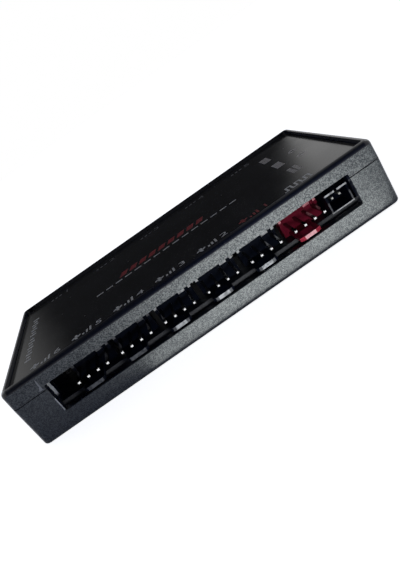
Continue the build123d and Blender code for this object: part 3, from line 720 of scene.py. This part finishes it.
# %% [markdown]
# ## Pins and contacts
# The pins are bright tin at their points, and further in their colour is darkened as painted shade. The
# inlet's contacts are gilt where a plug reaches them and tinned on their inner feet. In both cases one place
# along the metal divides the two tones, so one function serves for both: it is given the axis and
# the two places between which the tone changes.

# %% Make the pin and contact metals
PIN_TIN = (0.82, 0.82, 0.8, 1)
# The darker tone on the pins behind their points is painted shade.
PIN_PAINTED_SHADE = (0.12, 0.12, 0.13, 1)
POINT_LENGTH = 0.3 * MM
POINT_BLEND = 0.2 * MM
PIN_GLOSS = (0.1, 0.2)
CONTROL_PIN_GLOSS = (0.6, 0.7)
CONTACT_GILT = (0.8, 0.56, 0.21, 1)
CONTACT_TIN = (0.2, 0.2, 0.2, 1)
CONTACT_GLOSS = (0.22, 0.36)
GILT_END = (-41.2 * MM, -40.8 * MM)


def two_toned(name, axis, change, before, after, gloss):
    """Metal of one tone up to a place along an axis, and of another tone beyond it."""
    material, tree, shader, place = new_material(name)
    along = axes_of(tree, place)[axis]
    if axis == "Y":
        along = calculate(tree, "ABSOLUTE", along)
    drift = use_group(tree, mottle, Place=place, Patches_per_metre=METAL_PATCHES_PER_METRE)["Amount"]
    set_shader(tree, shader, Base_Color=mix_colour(tree, remap(tree, along, change), before, after),
               Metallic=1.0, Roughness=remap(tree, drift, RISING, gloss))
    return material


def pin_tin(name, node, gloss):
    """Tin for pins that stick out to the front or to the back, with painted shade behind their bright points.
    """
    bright_from = reach_of(node) - POINT_LENGTH
    return two_toned(name, "Y", (bright_from - POINT_BLEND, bright_from), PIN_PAINTED_SHADE, PIN_TIN, gloss)


fan_tin = pin_tin("fan_pin_tin", "fan_pins_1", PIN_GLOSS)
light_tin = pin_tin("light_pin_tin", "light_pins_1", PIN_GLOSS)
control_tin = pin_tin("control_pin_tin", "control_pins", CONTROL_PIN_GLOSS)
gilt = two_toned("contact_gilt", "X", GILT_END, CONTACT_GILT, CONTACT_TIN, CONTACT_GLOSS)
print("metals:", fan_tin.name, light_tin.name, control_tin.name, gilt.name)

# %% [markdown]
# ## Circuit board
# A board has two finishes: a lacquer on its two faces, through which the copper tracks show as
# paler lines, and the bare cut laminate round its edge. The direction of the surface tells the two
# apart, and straight bands at a slant stand for the tracks.

# %% Make the board
LACQUER = (0.003, 0.004, 0.008, 1)
TRACK = (0.009, 0.011, 0.015, 1)
BOARD_SPECULAR = 0.12
CUT_EDGE = (0.052, 0.052, 0.058, 1)
CUT_FIBRE = (0.072, 0.072, 0.079, 1)
LEVEL = 0.5
TRACK_BANDS_PER_METRE = 140.0
TRACK_WANDER = 1.5
TRACK_EDGE = (0.72, 0.8)
TRACK_BUMP = (0.3, 0.03 * MM)
FIBRES_PER_METRE = 2500.0
CUT_AND_LACQUER_GLOSS = (0.7, 0.35)


def board_laminate():
    """Dark lacquer with tracks on the faces, and bare laminate on the cut edges."""
    material, tree, shader, place = new_material("lacquered_board")
    upright = axes_of(tree, add(tree, "ShaderNodeTexCoord").outputs["Normal"])["Z"]
    face = calculate(tree, "GREATER_THAN", calculate(tree, "ABSOLUTE", upright), LEVEL)
    bands = add(tree, "ShaderNodeTexWave", {
        "Vector": place, "Scale": TRACK_BANDS_PER_METRE, "Distortion": TRACK_WANDER, "Detail": 0.0},
        bands_direction="DIAGONAL").outputs["Fac"]
    tracks = remap(tree, bands, TRACK_EDGE)
    fibres = use_group(tree, grain, Place=place, Pits_per_metre=FIBRES_PER_METRE)["Tone"]
    cut = mix_colour(tree, fibres, CUT_EDGE, CUT_FIBRE)
    lacquered = mix_colour(tree, tracks, LACQUER, TRACK)
    set_shader(tree, shader, Base_Color=mix_colour(tree, face, cut, lacquered),
               Roughness=remap(tree, face, RISING, CUT_AND_LACQUER_GLOSS),
               Normal=bumped(tree, tracks, *TRACK_BUMP), Specular_IOR_Level=BOARD_SPECULAR)
    return material


board_finish = board_laminate()
print("material:", board_finish.name)

# %% [markdown]
# ## Small parts on the board
# Chip resistors, chip capacitors and fuses have a coloured body between two tinned ends. They stand
# in a row of equal steps, so the place along the row, folded to one step, says whether a point lies
# on an end or on the body. The fuses stand in a row the other way, so for them the step is longer
# than the hub.

# %% Make the chip parts
CHIP_STEP = 4.0 * MM
CHIP_BODY_HALF = 0.5 * MM
FUSE_STEP = 100.0 * MM
FUSE_BODY_HALF = 1.5 * MM
CAP_TONES = ((0.7, 0.7, 0.7, 1), (0.5, 0.5, 0.5, 1))
CHIP_PATCHES_PER_METRE = 900.0
CHIP_GLOSS = (0.3, 0.45)
RESISTOR_TONES = ((0.012, 0.012, 0.014, 1), (0.007, 0.007, 0.008, 1))
CAPACITOR_TONES = ((0.2, 0.12, 0.065, 1), (0.12, 0.072, 0.039, 1))
FUSE_TONES = ((0.03, 0.09, 0.045, 1), (0.018, 0.054, 0.027, 1))


def capped_body(name, tones, row_middle, step, body_half):
    """A coloured body with tinned ends, for parts that stand in a row of equal steps."""
    material, tree, shader, place = new_material(name)
    along = fold(tree, axes_of(tree, place)["X"], row_middle, step)
    end = calculate(tree, "GREATER_THAN", calculate(tree, "ABSOLUTE", along), body_half)
    drift = use_group(tree, mottle, Place=place, Patches_per_metre=CHIP_PATCHES_PER_METRE)["Amount"]
    colour = mix_colour(tree, end, mix_colour(tree, drift, *tones), mix_colour(tree, drift, *CAP_TONES))
    set_shader(tree, shader, Base_Color=colour, Metallic=end,
               Roughness=remap(tree, drift, RISING, CHIP_GLOSS))
    return material


resistor_row = middle_of("chip_resistors", 0) + CHIP_STEP / 2
capacitor_row = middle_of("chip_capacitors", 0) + CHIP_STEP / 2
resistor_body = capped_body("resistor_body", RESISTOR_TONES, resistor_row, CHIP_STEP, CHIP_BODY_HALF)
capacitor_body = capped_body("capacitor_body", CAPACITOR_TONES, capacitor_row, CHIP_STEP, CHIP_BODY_HALF)
fuse_body = capped_body("fuse_resin", FUSE_TONES, middle_of("resettable_fuses", 0), FUSE_STEP, FUSE_BODY_HALF)
print("chip parts:", resistor_body.name, capacitor_body.name, fuse_body.name)

# %% [markdown]
# ## Finishes on the solids
# Every solid of the CAD model keeps its shape and gets its finish here. The list is read from the
# top, and the first name that a solid's own name starts with decides.

# %% Give the solids their finishes
FINISHES = [
    ("bottom_case", tray_plastic), ("top_cover", cover_plastic), ("label_panel", label_finish),
    ("circuit_board", board_finish), ("case_screws", screw_steel), ("fan_header_1", header_red),
    ("fan_header_5", header_dim_highlight), ("fan_header_6", header_dim_highlight), ("fan_header", header_black),
    ("fan_pins", fan_tin), ("control_socket", socket_black), ("control_pins", control_tin),
    ("light_header", header_black), ("light_pins", light_tin), ("power_inlet", inlet_black),
    ("power_contacts", gilt), ("controller_chip", chip_resin), ("buffer_chip", chip_resin),
    ("bulk_capacitors", can_metal), ("resettable_fuses", fuse_body),
    ("chip_resistors", resistor_body), ("chip_capacitors", capacitor_body),
]
for name, solid in nodes.items():
    finish = next(finish for start, finish in FINISHES if name.startswith(start))
    solid.data.materials.clear()
    solid.data.materials.append(finish)
print("finished solids:", len(nodes))

# %% [markdown]
# ## Printing inks
# The label is printed with thin ink in four strengths: pale for the legends in front, fainter for
# the marks at the right, dim for the legends at the back, and dark red for the band and the first
# fan. Printed ink never covers evenly, so its tone is mottled, and its face is dull and has a tooth.

# %% Make the inks
INK_PATCHES_PER_METRE = 1200.0
INK_TEETH_PER_METRE = 4000.0
INK_GLOSS = (0.4, 0.55)
INK_BUMP = (0.15, 0.02 * MM)
INK_SPECULAR = 0.2
PALE_TONES = ((0.48, 0.47, 0.43, 1), (0.355, 0.347, 0.32, 1))
FAINT_TONES = ((0.42, 0.385, 0.355, 1), (0.295, 0.27, 0.25, 1))
DIM_TONES = ((0.09, 0.09, 0.092, 1), (0.06, 0.06, 0.062, 1))
RED_TONES = ((0.18, 0.02, 0.024, 1), (0.125, 0.014, 0.017, 1))


def print_ink(name, full, faded):
    """Ink with a mottled cover and a dull, slightly grainy face."""
    material, tree, shader, place = new_material(name)
    cover = use_group(tree, mottle, Place=place, Patches_per_metre=INK_PATCHES_PER_METRE)["Amount"]
    tooth = use_group(tree, grain, Place=place, Pits_per_metre=INK_TEETH_PER_METRE)
    set_shader(tree, shader, Base_Color=mix_colour(tree, cover, full, faded),
               Roughness=remap(tree, tooth["Tone"], RISING, INK_GLOSS),
               Normal=bumped(tree, tooth["Height"], *INK_BUMP), Specular_IOR_Level=INK_SPECULAR)
    return material


pale_ink = print_ink("pale_ink", *PALE_TONES)
faint_ink = print_ink("faint_ink", *FAINT_TONES)
dim_ink = print_ink("dim_ink", *DIM_TONES)
red_ink = print_ink("red_ink", *RED_TONES)
print("inks:", pale_ink.name, faint_ink.name, dim_ink.name, red_ink.name)

# %% [markdown]
# ## Flat shapes
# A print is a skin of ink, so it starts flat on the sheet, from planes and discs. Each shape's size
# and place are applied to its mesh at once, so that every later step works in the hub's own frame.
# All places and sizes of the print are written in millimetres.

# %% Define the bar and the disc
DISC_SIDES = 20


def apply_size(shape, length, width):
    """Stretch a shape of one millimetre to its size and apply its place, turn and size."""
    shape.scale = (length, width, 1)
    bpy.ops.object.transform_apply(location=True, rotation=True, scale=True)
    return shape


def flat_bar(x, y, length, width):
    """A flat bar round a place."""
    bpy.ops.object.select_all(action="DESELECT")
    bpy.ops.mesh.primitive_plane_add(size=MM, location=(x * MM, y * MM, LABEL_TOP))
    return apply_size(bpy.context.object, length, width)


def flat_disc(x, y, length, width, turn=0.0):
    """A flat round or oval disc, turned about its own middle."""
    bpy.ops.object.select_all(action="DESELECT")
    bpy.ops.mesh.primitive_circle_add(vertices=DISC_SIDES, radius=MM / 2, fill_type="NGON",
                                      location=(x * MM, y * MM, LABEL_TOP), rotation=(0, 0, turn))
    return apply_size(bpy.context.object, length, width)


print("flat bar and disc defined")

# %% [markdown]
# ## Copies and joins
# A shape that repeats is made once and then copied, and each copy has a mesh of its own. An Array
# modifier would do for a single row, but copies can also be joined with other shapes on the way and
# set down at uneven places.

# %% Define the copy, the row and the join
def pick_only(objects):
    """Select only these objects and make the first one active."""
    bpy.ops.object.select_all(action="DESELECT")
    for picked in objects:
        picked.select_set(True)
    bpy.context.view_layer.objects.active = objects[0]


def copied(shape, x, y):
    """A copy of a shape with its own mesh, moved by a distance."""
    pick_only([shape])
    bpy.ops.object.duplicate(linked=False)
    bpy.ops.transform.translate(value=(x * MM, y * MM, 0))
    bpy.ops.object.transform_apply(location=True, rotation=True, scale=True)
    return bpy.context.object


def row_of(shape, count, x, y):
    """A shape and its copies, each one step further on."""
    return [shape] + [copied(shape, index * x, index * y) for index in range(1, count)]


def joined(shapes):
    """Flat shapes joined into one."""
    pick_only(shapes)
    bpy.ops.object.join()
    return bpy.context.object


print("copies and joins defined")

# %% [markdown]
# ## From shape to print
# When its shapes are joined, a Solidify modifier gives a print the thickness of ink, and the print
# then rides on the hub. Numbers start as a text object in the plain built-in letters, which is made
# a mesh before its size is applied.

# %% Define the number and the finished print
CAPITAL_TO_SIZE = 1.4
LETTER_STEPS = 4
INK_THICKNESS = 0.015 * MM


def flat_number(x, y, digit, height, stretch):
    """One digit, made wide, as a flat mesh."""
    bpy.ops.object.select_all(action="DESELECT")
    bpy.ops.object.text_add(location=(x * MM, y * MM, LABEL_TOP))
    text = bpy.context.object
    text.data.body = str(digit)
    text.data.align_x = "CENTER"
    text.data.align_y = "CENTER"
    text.data.size = height * MM * CAPITAL_TO_SIZE
    text.data.resolution_u = LETTER_STEPS
    bpy.ops.object.convert(target="MESH")
    return apply_size(bpy.context.object, stretch, 1)


def finish_print(name, shapes, ink):
    """Join flat shapes into one print, give it thickness and ink, and let it ride on the hub."""
    made = joined(shapes)
    made.name = name
    thickness = made.modifiers.new("ink_thickness", "SOLIDIFY")
    thickness.thickness = INK_THICKNESS
    thickness.offset = 1
    bpy.ops.object.modifier_apply(modifier=thickness.name)
    bpy.ops.object.mode_set(mode="EDIT")
    bpy.ops.mesh.select_all(action="SELECT")
    bpy.ops.mesh.normals_make_consistent(inside=False)
    bpy.ops.object.mode_set(mode="OBJECT")
    made.data.materials.clear()
    made.data.materials.append(ink)
    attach(made, "root")
    print("printed:", name, len(made.data.polygons), "faces")


print("print steps defined")

# %% [markdown]
# ## Fan legends
# Each fan connector has a legend on the label behind it: a fan wheel, three rising bars for its
# speed and its number. The wheel is a hub and one oval blade, which the Spin operator repeats round
# the hub. Wheel and bars are the same for all six, so they are made once and copied in a row. The
# legends stand a little closer together than the connectors.

# %% Print the fan legends
FANS = 6
FAN_LEGEND_X = 19.85
FAN_LEGEND_Y = -19.7
FAN_LEGEND_STEP = -11.33
WHEEL_X = FAN_LEGEND_X - 3.1
WHEEL_BLADES = 4
BLADE_REACH = 0.72
BLADE_SIZE = (1.15, 0.62)
BLADE_TWIST = math.radians(38)
WHEEL_HUB = 0.55
BARS = ((-1.15, 0.9), (-0.2, 1.6), (0.75, 2.3))
BAR_WIDTH = 0.5
BAR_FOOT = FAN_LEGEND_Y - 1.15
DIGIT_X = 3.0
DIGIT_HEIGHT = 2.2
DIGIT_STRETCH = 1.35

blades = flat_disc(WHEEL_X + BLADE_REACH, FAN_LEGEND_Y, *BLADE_SIZE, BLADE_TWIST)
bpy.ops.object.mode_set(mode="EDIT")
bpy.ops.mesh.select_all(action="SELECT")
bpy.ops.mesh.spin(dupli=True, steps=WHEEL_BLADES - 1, angle=math.tau * (1 - 1 / WHEEL_BLADES),
                  center=(WHEEL_X * MM, FAN_LEGEND_Y * MM, LABEL_TOP), axis=(0, 0, 1))
bpy.ops.object.mode_set(mode="OBJECT")
sign = joined([blades, flat_disc(WHEEL_X, FAN_LEGEND_Y, WHEEL_HUB, WHEEL_HUB)] + [
    flat_bar(FAN_LEGEND_X + x, BAR_FOOT + tall / 2, BAR_WIDTH, tall) for x, tall in BARS])
for index, sign in enumerate(row_of(sign, FANS, FAN_LEGEND_STEP, 0.0)):
    digit = flat_number(FAN_LEGEND_X + DIGIT_X + index * FAN_LEGEND_STEP, FAN_LEGEND_Y, index + 1,
                        DIGIT_HEIGHT, DIGIT_STRETCH)
    finish_print(f"fan_legend_{index + 1}", [sign, digit], pale_ink if index else red_ink)

# %% [markdown]
# ## Control legend
# The control socket takes a pulsed signal, so its legend is a square wave. One pulse is four bars:
# low, up, high and down. It is made once and copied.

# %% Print the control legend
WAVE_X = 28.1
WAVE_Y = -19.6
WAVE_STEP = 1.2
WAVE_PULSES = 3
WAVE_HEIGHT = 2.3
WAVE_STROKE = 0.45

level = (WAVE_STEP - WAVE_STROKE, WAVE_STROKE)
upright = (WAVE_STROKE, WAVE_HEIGHT + WAVE_STROKE)
pulse = joined([flat_bar(WAVE_X, WAVE_Y - WAVE_HEIGHT / 2, *level),
                flat_bar(WAVE_X + WAVE_STEP / 2, WAVE_Y, *upright),
                flat_bar(WAVE_X + WAVE_STEP, WAVE_Y + WAVE_HEIGHT / 2, *level),
                flat_bar(WAVE_X + 3 * WAVE_STEP / 2, WAVE_Y, *upright)])
finish_print("control_legend", row_of(pulse, WAVE_PULSES, 2 * WAVE_STEP, 0.0), pale_ink)

# %% [markdown]
# ## Lighting legends
# The five lighting connectors stand along the back edge. Their legends are three dots for the lamps
# in a chain, and a number. The dots are made for the first legend and copied to the others. The
# legends don't stand quite in a line, so each has a place of its own.

# %% Print the lighting legends
LIGHT_LEGENDS = ((-34.5, 19.8), (-18.6, 19.4), (-2.9, 19.5), (12.8, 19.4), (29.0, 19.8))
DOTS = 3
DOT_WIDTH = 0.95
DOT_STEP = 1.4
FIRST_DOT_X = -2.9
LIGHT_DIGIT_X = 2.2

first_x, first_y = LIGHT_LEGENDS[0]
dot = flat_disc(first_x + FIRST_DOT_X, first_y, DOT_WIDTH, DOT_WIDTH)
first_dots = joined(row_of(dot, DOTS, DOT_STEP, 0.0))
other_dots = [copied(first_dots, x - first_x, y - first_y) for x, y in LIGHT_LEGENDS[1:]]
for index, dots in enumerate([first_dots] + other_dots):
    x, y = LIGHT_LEGENDS[index]
    digit = flat_number(x + LIGHT_DIGIT_X, y, index + 1, DIGIT_HEIGHT, DIGIT_STRETCH)
    finish_print(f"light_legend_{index + 1}", [dots, digit], dim_ink)

# %% [markdown]
# ## Middle band and rule
# A dark red band of slanted bars lies across the middle of the label, with a pale dashed rule below
# it. A bar gets its slant in edit mode, where its upper corners are moved to the right. One bar and
# one dash are then copied in a row.

# %% Print the middle band and the rule
BAND_X = -14.2
BAND_Y = 0.7
BAND_BAR = (2.0, 2.9)
BAND_SLANT = 0.9
BAND_BARS = 9
BAND_STEP = 2.95
RULE_X = -21.4
RULE_Y = -2.8
RULE_DASH = (2.0, 0.6)
RULE_DASHES = 15
RULE_STEP = 2.9


def select_parts(parts, kind, wanted):
    """Go to edit mode with only those vertices or faces selected that a test picks."""
    bpy.ops.object.mode_set(mode="EDIT")
    bpy.ops.mesh.select_mode(type=kind)
    bpy.ops.mesh.select_all(action="DESELECT")
    bpy.ops.object.mode_set(mode="OBJECT")
    for part in parts:
        part.select = wanted(part)
    bpy.ops.object.mode_set(mode="EDIT")


bar = flat_bar(BAND_X, BAND_Y, *BAND_BAR)
select_parts(bar.data.vertices, "VERT", lambda corner: corner.co.y > BAND_Y * MM)
bpy.ops.transform.translate(value=(BAND_SLANT * MM, 0, 0))
bpy.ops.object.mode_set(mode="OBJECT")
finish_print("middle_band", row_of(bar, BAND_BARS, BAND_STEP, 0.0), red_ink)
dash = flat_bar(RULE_X, RULE_Y, *RULE_DASH)
finish_print("middle_rule", row_of(dash, RULE_DASHES, RULE_STEP, 0.0), pale_ink)

# %% [markdown]
# ## Power legend
# At the left end, beside the power inlet, two scales of long and short marks run up the edge. The
# long marks and the short ones are each a row of copies, with the short row half a step further up.

# %% Print the power legend
SCALE_X = -42.6
LONG_MARK = (1.9, 0.8)
SHORT_MARK = (1.2, 0.8)
SCALE_STEP = 1.8
SCALES = ((1.9, 4, 3), (-13.4, 4, 4))

marks = []
for start, long_marks, short_marks in SCALES:
    marks += row_of(flat_bar(SCALE_X, start, *LONG_MARK), long_marks, 0.0, 2 * SCALE_STEP)
    marks += row_of(flat_bar(SCALE_X, start + SCALE_STEP, *SHORT_MARK), short_marks, 0.0, 2 * SCALE_STEP)
finish_print("power_legend", marks, pale_ink)

# %% [markdown]
# ## Marks at the right end
# At the right end stand two blocks of short lines, a double row of small teeth below them, and two
# rings. A ring is a disc whose face is inset and whose inner face is then deleted.

# %% Print the blocks and the rings
BLOCKS = ((34.6, 9.45), (34.6, -1.25))
BLOCK_LINE = (2.3, 0.55)
BLOCK_LINES = 6
BLOCK_STEP = 0.9
TEETH_PLACE = (34.25, -12.1)
TOOTH = (1.05, 0.5)
TEETH_GAP = 1.5
RING_PLACES = ((40.4, 4.2), (40.1, -2.8))
RING_WIDTH = 2.3
RING_STROKE = 0.4

block = joined(row_of(flat_bar(*BLOCKS[0], *BLOCK_LINE), BLOCK_LINES, 0.0, BLOCK_STEP))
other_block = copied(block, BLOCKS[1][0] - BLOCKS[0][0], BLOCKS[1][1] - BLOCKS[0][1])
teeth = joined(row_of(flat_bar(*TEETH_PLACE, *TOOTH), BLOCK_LINES, 0.0, BLOCK_STEP))
finish_print("side_blocks", [block, other_block, teeth, copied(teeth, TEETH_GAP, 0.0)], faint_ink)

ring = flat_disc(*RING_PLACES[0], RING_WIDTH, RING_WIDTH)
select_parts(ring.data.polygons, "FACE", lambda face: True)
bpy.ops.mesh.inset(thickness=RING_STROKE * MM)
bpy.ops.mesh.delete(type="FACE")
bpy.ops.object.mode_set(mode="OBJECT")
other_ring = copied(ring, RING_PLACES[1][0] - RING_PLACES[0][0], RING_PLACES[1][1] - RING_PLACES[0][1])
finish_print("side_rings", [ring, other_ring], faint_ink)

# %% [markdown]
# ## Floor and room
# The hub stands on a plain white floor in a white room. To the camera, to mirrors and to glass the
# floor and the room are white by themselves, and the floor still takes a soft shadow. For all other
# rays the room gives only a dim, bluish light, so that a black hub stays black.

# %% Build the floor and the room
FLOOR_SIZE = 4.0
FLOOR_TONES = ((0.8, 0.8, 0.8, 1), (0.82, 0.82, 0.82, 1))
FLOOR_PATCHES_PER_METRE = 4.0
FLOOR_GLOW = 0.9
FLOOR_ROUGHNESS = 0.9
WHITE = (1, 1, 1, 1)
ROOM_AMBIENT = (0.17, 0.22, 0.38, 1)


def seen_directly(tree):
    """1 for rays from the camera, from a mirror or through glass."""
    rays = add(tree, "ShaderNodeLightPath").outputs
    mirrored = calculate(tree, "MAXIMUM", rays["Is Glossy Ray"], rays["Is Transmission Ray"])
    return calculate(tree, "MAXIMUM", rays["Is Camera Ray"], mirrored)


bpy.ops.object.select_all(action="DESELECT")
bpy.ops.mesh.primitive_plane_add(size=FLOOR_SIZE, location=(0, 0, 0))
floor = bpy.context.object
floor.name = "floor"
floor_white, tree, shader, place = new_material("floor_white")
shade = use_group(tree, mottle, Place=place, Patches_per_metre=FLOOR_PATCHES_PER_METRE)["Amount"]
set_shader(tree, shader, Base_Color=mix_colour(tree, shade, *FLOOR_TONES), Roughness=FLOOR_ROUGHNESS,
           Specular_IOR_Level=0.0, Emission_Color=WHITE,
           Emission_Strength=product(tree, seen_directly(tree), FLOOR_GLOW))
floor.data.materials.append(floor_white)

world = bpy.data.worlds.new("white_room")
bpy.context.scene.world = world
world.use_nodes = True
tree = world.node_tree
fill(tree, tree.nodes["Background"], {"Color": mix_colour(tree, seen_directly(tree), ROOM_AMBIENT, WHITE)})
print("stage:", floor.name, world.name)

# %% [markdown]
# ## Dark arch
# A glossy black label shows what hangs over it. A photographer hangs black cloth over such an object
# and lets a little of the bright room in at the sides. Here the cloth is the upper part of a wide
# tube, whose lower faces are deleted in edit mode. It stands over the hub and is hidden from the
# camera.

# %% Hang the dark arch
ARCH_RADIUS = 1.0
ARCH_HALF_WIDTH = 0.62
ARCH_SIDES = 96
ARCH_FROM = math.radians(3)
ARCH_TO = math.radians(165)

bpy.ops.object.select_all(action="DESELECT")
bpy.ops.mesh.primitive_cylinder_add(
    vertices=ARCH_SIDES, radius=ARCH_RADIUS, depth=2 * ARCH_HALF_WIDTH, end_fill_type="NOTHING",
    location=(0, 0, 0), rotation=(0, math.radians(90), 0))
arch = bpy.context.object
arch.name = "dark_arch"
bpy.ops.object.transform_apply(location=True, rotation=True, scale=True)
select_parts(arch.data.polygons, "FACE", lambda face: not (
    ARCH_FROM < math.atan2(face.center.z, face.center.y) < ARCH_TO))
bpy.ops.mesh.delete(type="FACE")
bpy.ops.object.mode_set(mode="OBJECT")
arch.visible_camera = False
print("arch:", len(arch.data.polygons), "faces")

# %% [markdown]
# ## Black cloth
# The cloth is nearly black, and both ends of the arch glow as the room does beside it. The left glow
# is weak and even. The right one spreads as a fan: it starts further in and is wider the higher it
# is, which lays a slanted shine on the label. Start and width of the fan are straight lines in the
# height, each written as its slope and its value at the floor.

# %% Make the black cloth
CLOTH_BLACK = (0.004, 0.004, 0.005, 1)
CLOTH_GLOW = 0.02
LEFT_SPAN = (-0.28, -0.47)
LEFT_GLOW = 0.42
RIGHT_START = (-0.7, 0.475)
RIGHT_WIDTH = (1.25, -0.2975)
RIGHT_NARROWEST = 0.02
RIGHT_GLOW = 0.78

black_cloth, tree, shader, place = new_material("black_cloth")
axes = axes_of(tree, place)
left = remap(tree, axes["X"], LEFT_SPAN, (0.0, LEFT_GLOW))
start = calculate(tree, "MULTIPLY_ADD", axes["Z"], *RIGHT_START)
width = calculate(tree, "MULTIPLY_ADD", axes["Z"], *RIGHT_WIDTH)
right = remap(tree, calculate(tree, "SUBTRACT", axes["X"], start),
              (0.0, calculate(tree, "MAXIMUM", width, RIGHT_NARROWEST)), (0.0, RIGHT_GLOW))
behind = calculate(tree, "GREATER_THAN", axes["Y"], 0.0)
ends = product(tree, calculate(tree, "ADD", left, right), behind)
set_shader(tree, shader, Base_Color=CLOTH_BLACK, Roughness=1.0, Specular_IOR_Level=0.0,
           Emission_Color=WHITE, Emission_Strength=calculate(tree, "ADD", ends, CLOTH_GLOW))
arch.data.materials.append(black_cloth)
print("material:", black_cloth.name)

# %% [markdown]
# ## Area lamps
# All the lamps are rectangles, because a wide light gives the soft shading that a bright table or a
# window gives. A lamp points along its own downward axis, so it is turned until that axis meets its
# aim. Light linking can keep a lamp to some of the solids.

# %% Define the area lamp
def area_light(name, middle, aim, size, power, colour):
    """A rectangular lamp at a place, pointed at another place."""
    bpy.ops.object.select_all(action="DESELECT")
    bpy.ops.object.light_add(type="AREA", location=middle)
    lamp = bpy.context.object
    lamp.name = name
    lamp.rotation_euler = (Vector(aim) - Vector(middle)).to_track_quat("-Z", "Y").to_euler()
    lamp.data.shape = "RECTANGLE"
    lamp.data.size, lamp.data.size_y = size
    lamp.data.energy = power
    lamp.data.color = colour
    lamp.visible_camera = False
    return lamp


def light_only(lamp, starts):
    """Let a lamp light only the solids whose names start as given."""
    lit = bpy.data.collections.new(lamp.name)
    for name, solid in nodes.items():
        if name.startswith(starts):
            lit.objects.link(solid)
    lamp.light_linking.receiver_collection = lit


print("area lamp defined")

# %% [markdown]
# ## Lights from the table
# The front wall is lit from below, by the bright table in front of it, and it grows brighter
# towards the right. Three panels that lie on the floor do this: one along the wall, a weaker one
# that carries on to the left, and one further out for the cover. They light the case alone, because
# the connectors inside the opening get little of that light.

# %% Lay the panels
PANEL_HEIGHT = 0.6
PANEL_COLOUR = (0.97, 1.0, 0.965)
PANELS = {"wall_panel": (-6.0, 46.0, -26.5, -45.0, 0.0144),
          "edge_panel": (-18.0, -6.0, -26.5, -45.0, 0.00255),
          "far_panel": (0.0, 36.0, -45.0, -110.0, 0.066)}
CASE_NODES = ("bottom_case", "top_cover")

for name, (left_x, right_x, near_y, far_y, power) in PANELS.items():
    middle = Vector(((left_x + right_x) / 2, (near_y + far_y) / 2, PANEL_HEIGHT)) * MM
    size = ((right_x - left_x) * MM, (near_y - far_y) * MM)
    panel = area_light(name, middle, middle + Vector((0, 0, 1)), size, power, PANEL_COLOUR)
    light_only(panel, CASE_NODES)

# %% [markdown]
# ## Lamps
# A small lamp stands low in front and shines into the opening. It lights only the connectors and
# the board, so that their edges and pin points show while the wall keeps its own light. Two larger
# lamps behind the hub give shape to its back and ends.

# %% Set the lamps
FRONT_LAMP_PLACE = Vector((15.0, -75.0, 15.0)) * MM
FRONT_LAMP_AIM = Vector((15.0, -25.0, 8.0)) * MM
FRONT_LAMP_SIZE = (30.0 * MM, 6.0 * MM)
FRONT_LAMP_POWER = 0.02
CONNECTOR_NODES = ("fan_", "control_", "circuit_board")
BACK_LAMPS = {"back_left": (-0.7, 0.6, 0.5), "back_right": (0.8, 0.5, 0.5)}
BACK_LAMP_SIZE = (0.6, 0.4)
BACK_LAMP_POWER = 1.0
BACK_LAMP_COLOUR = (0.95, 0.97, 1.0)

front_lamp = area_light("front_lamp", FRONT_LAMP_PLACE, FRONT_LAMP_AIM, FRONT_LAMP_SIZE, FRONT_LAMP_POWER,
                        PANEL_COLOUR)
light_only(front_lamp, CONNECTOR_NODES)
for name, middle in BACK_LAMPS.items():
    area_light(name, middle, (0, 0, 0), BACK_LAMP_SIZE, BACK_LAMP_POWER, BACK_LAMP_COLOUR)
print("lamps set:", 1 + len(BACK_LAMPS))
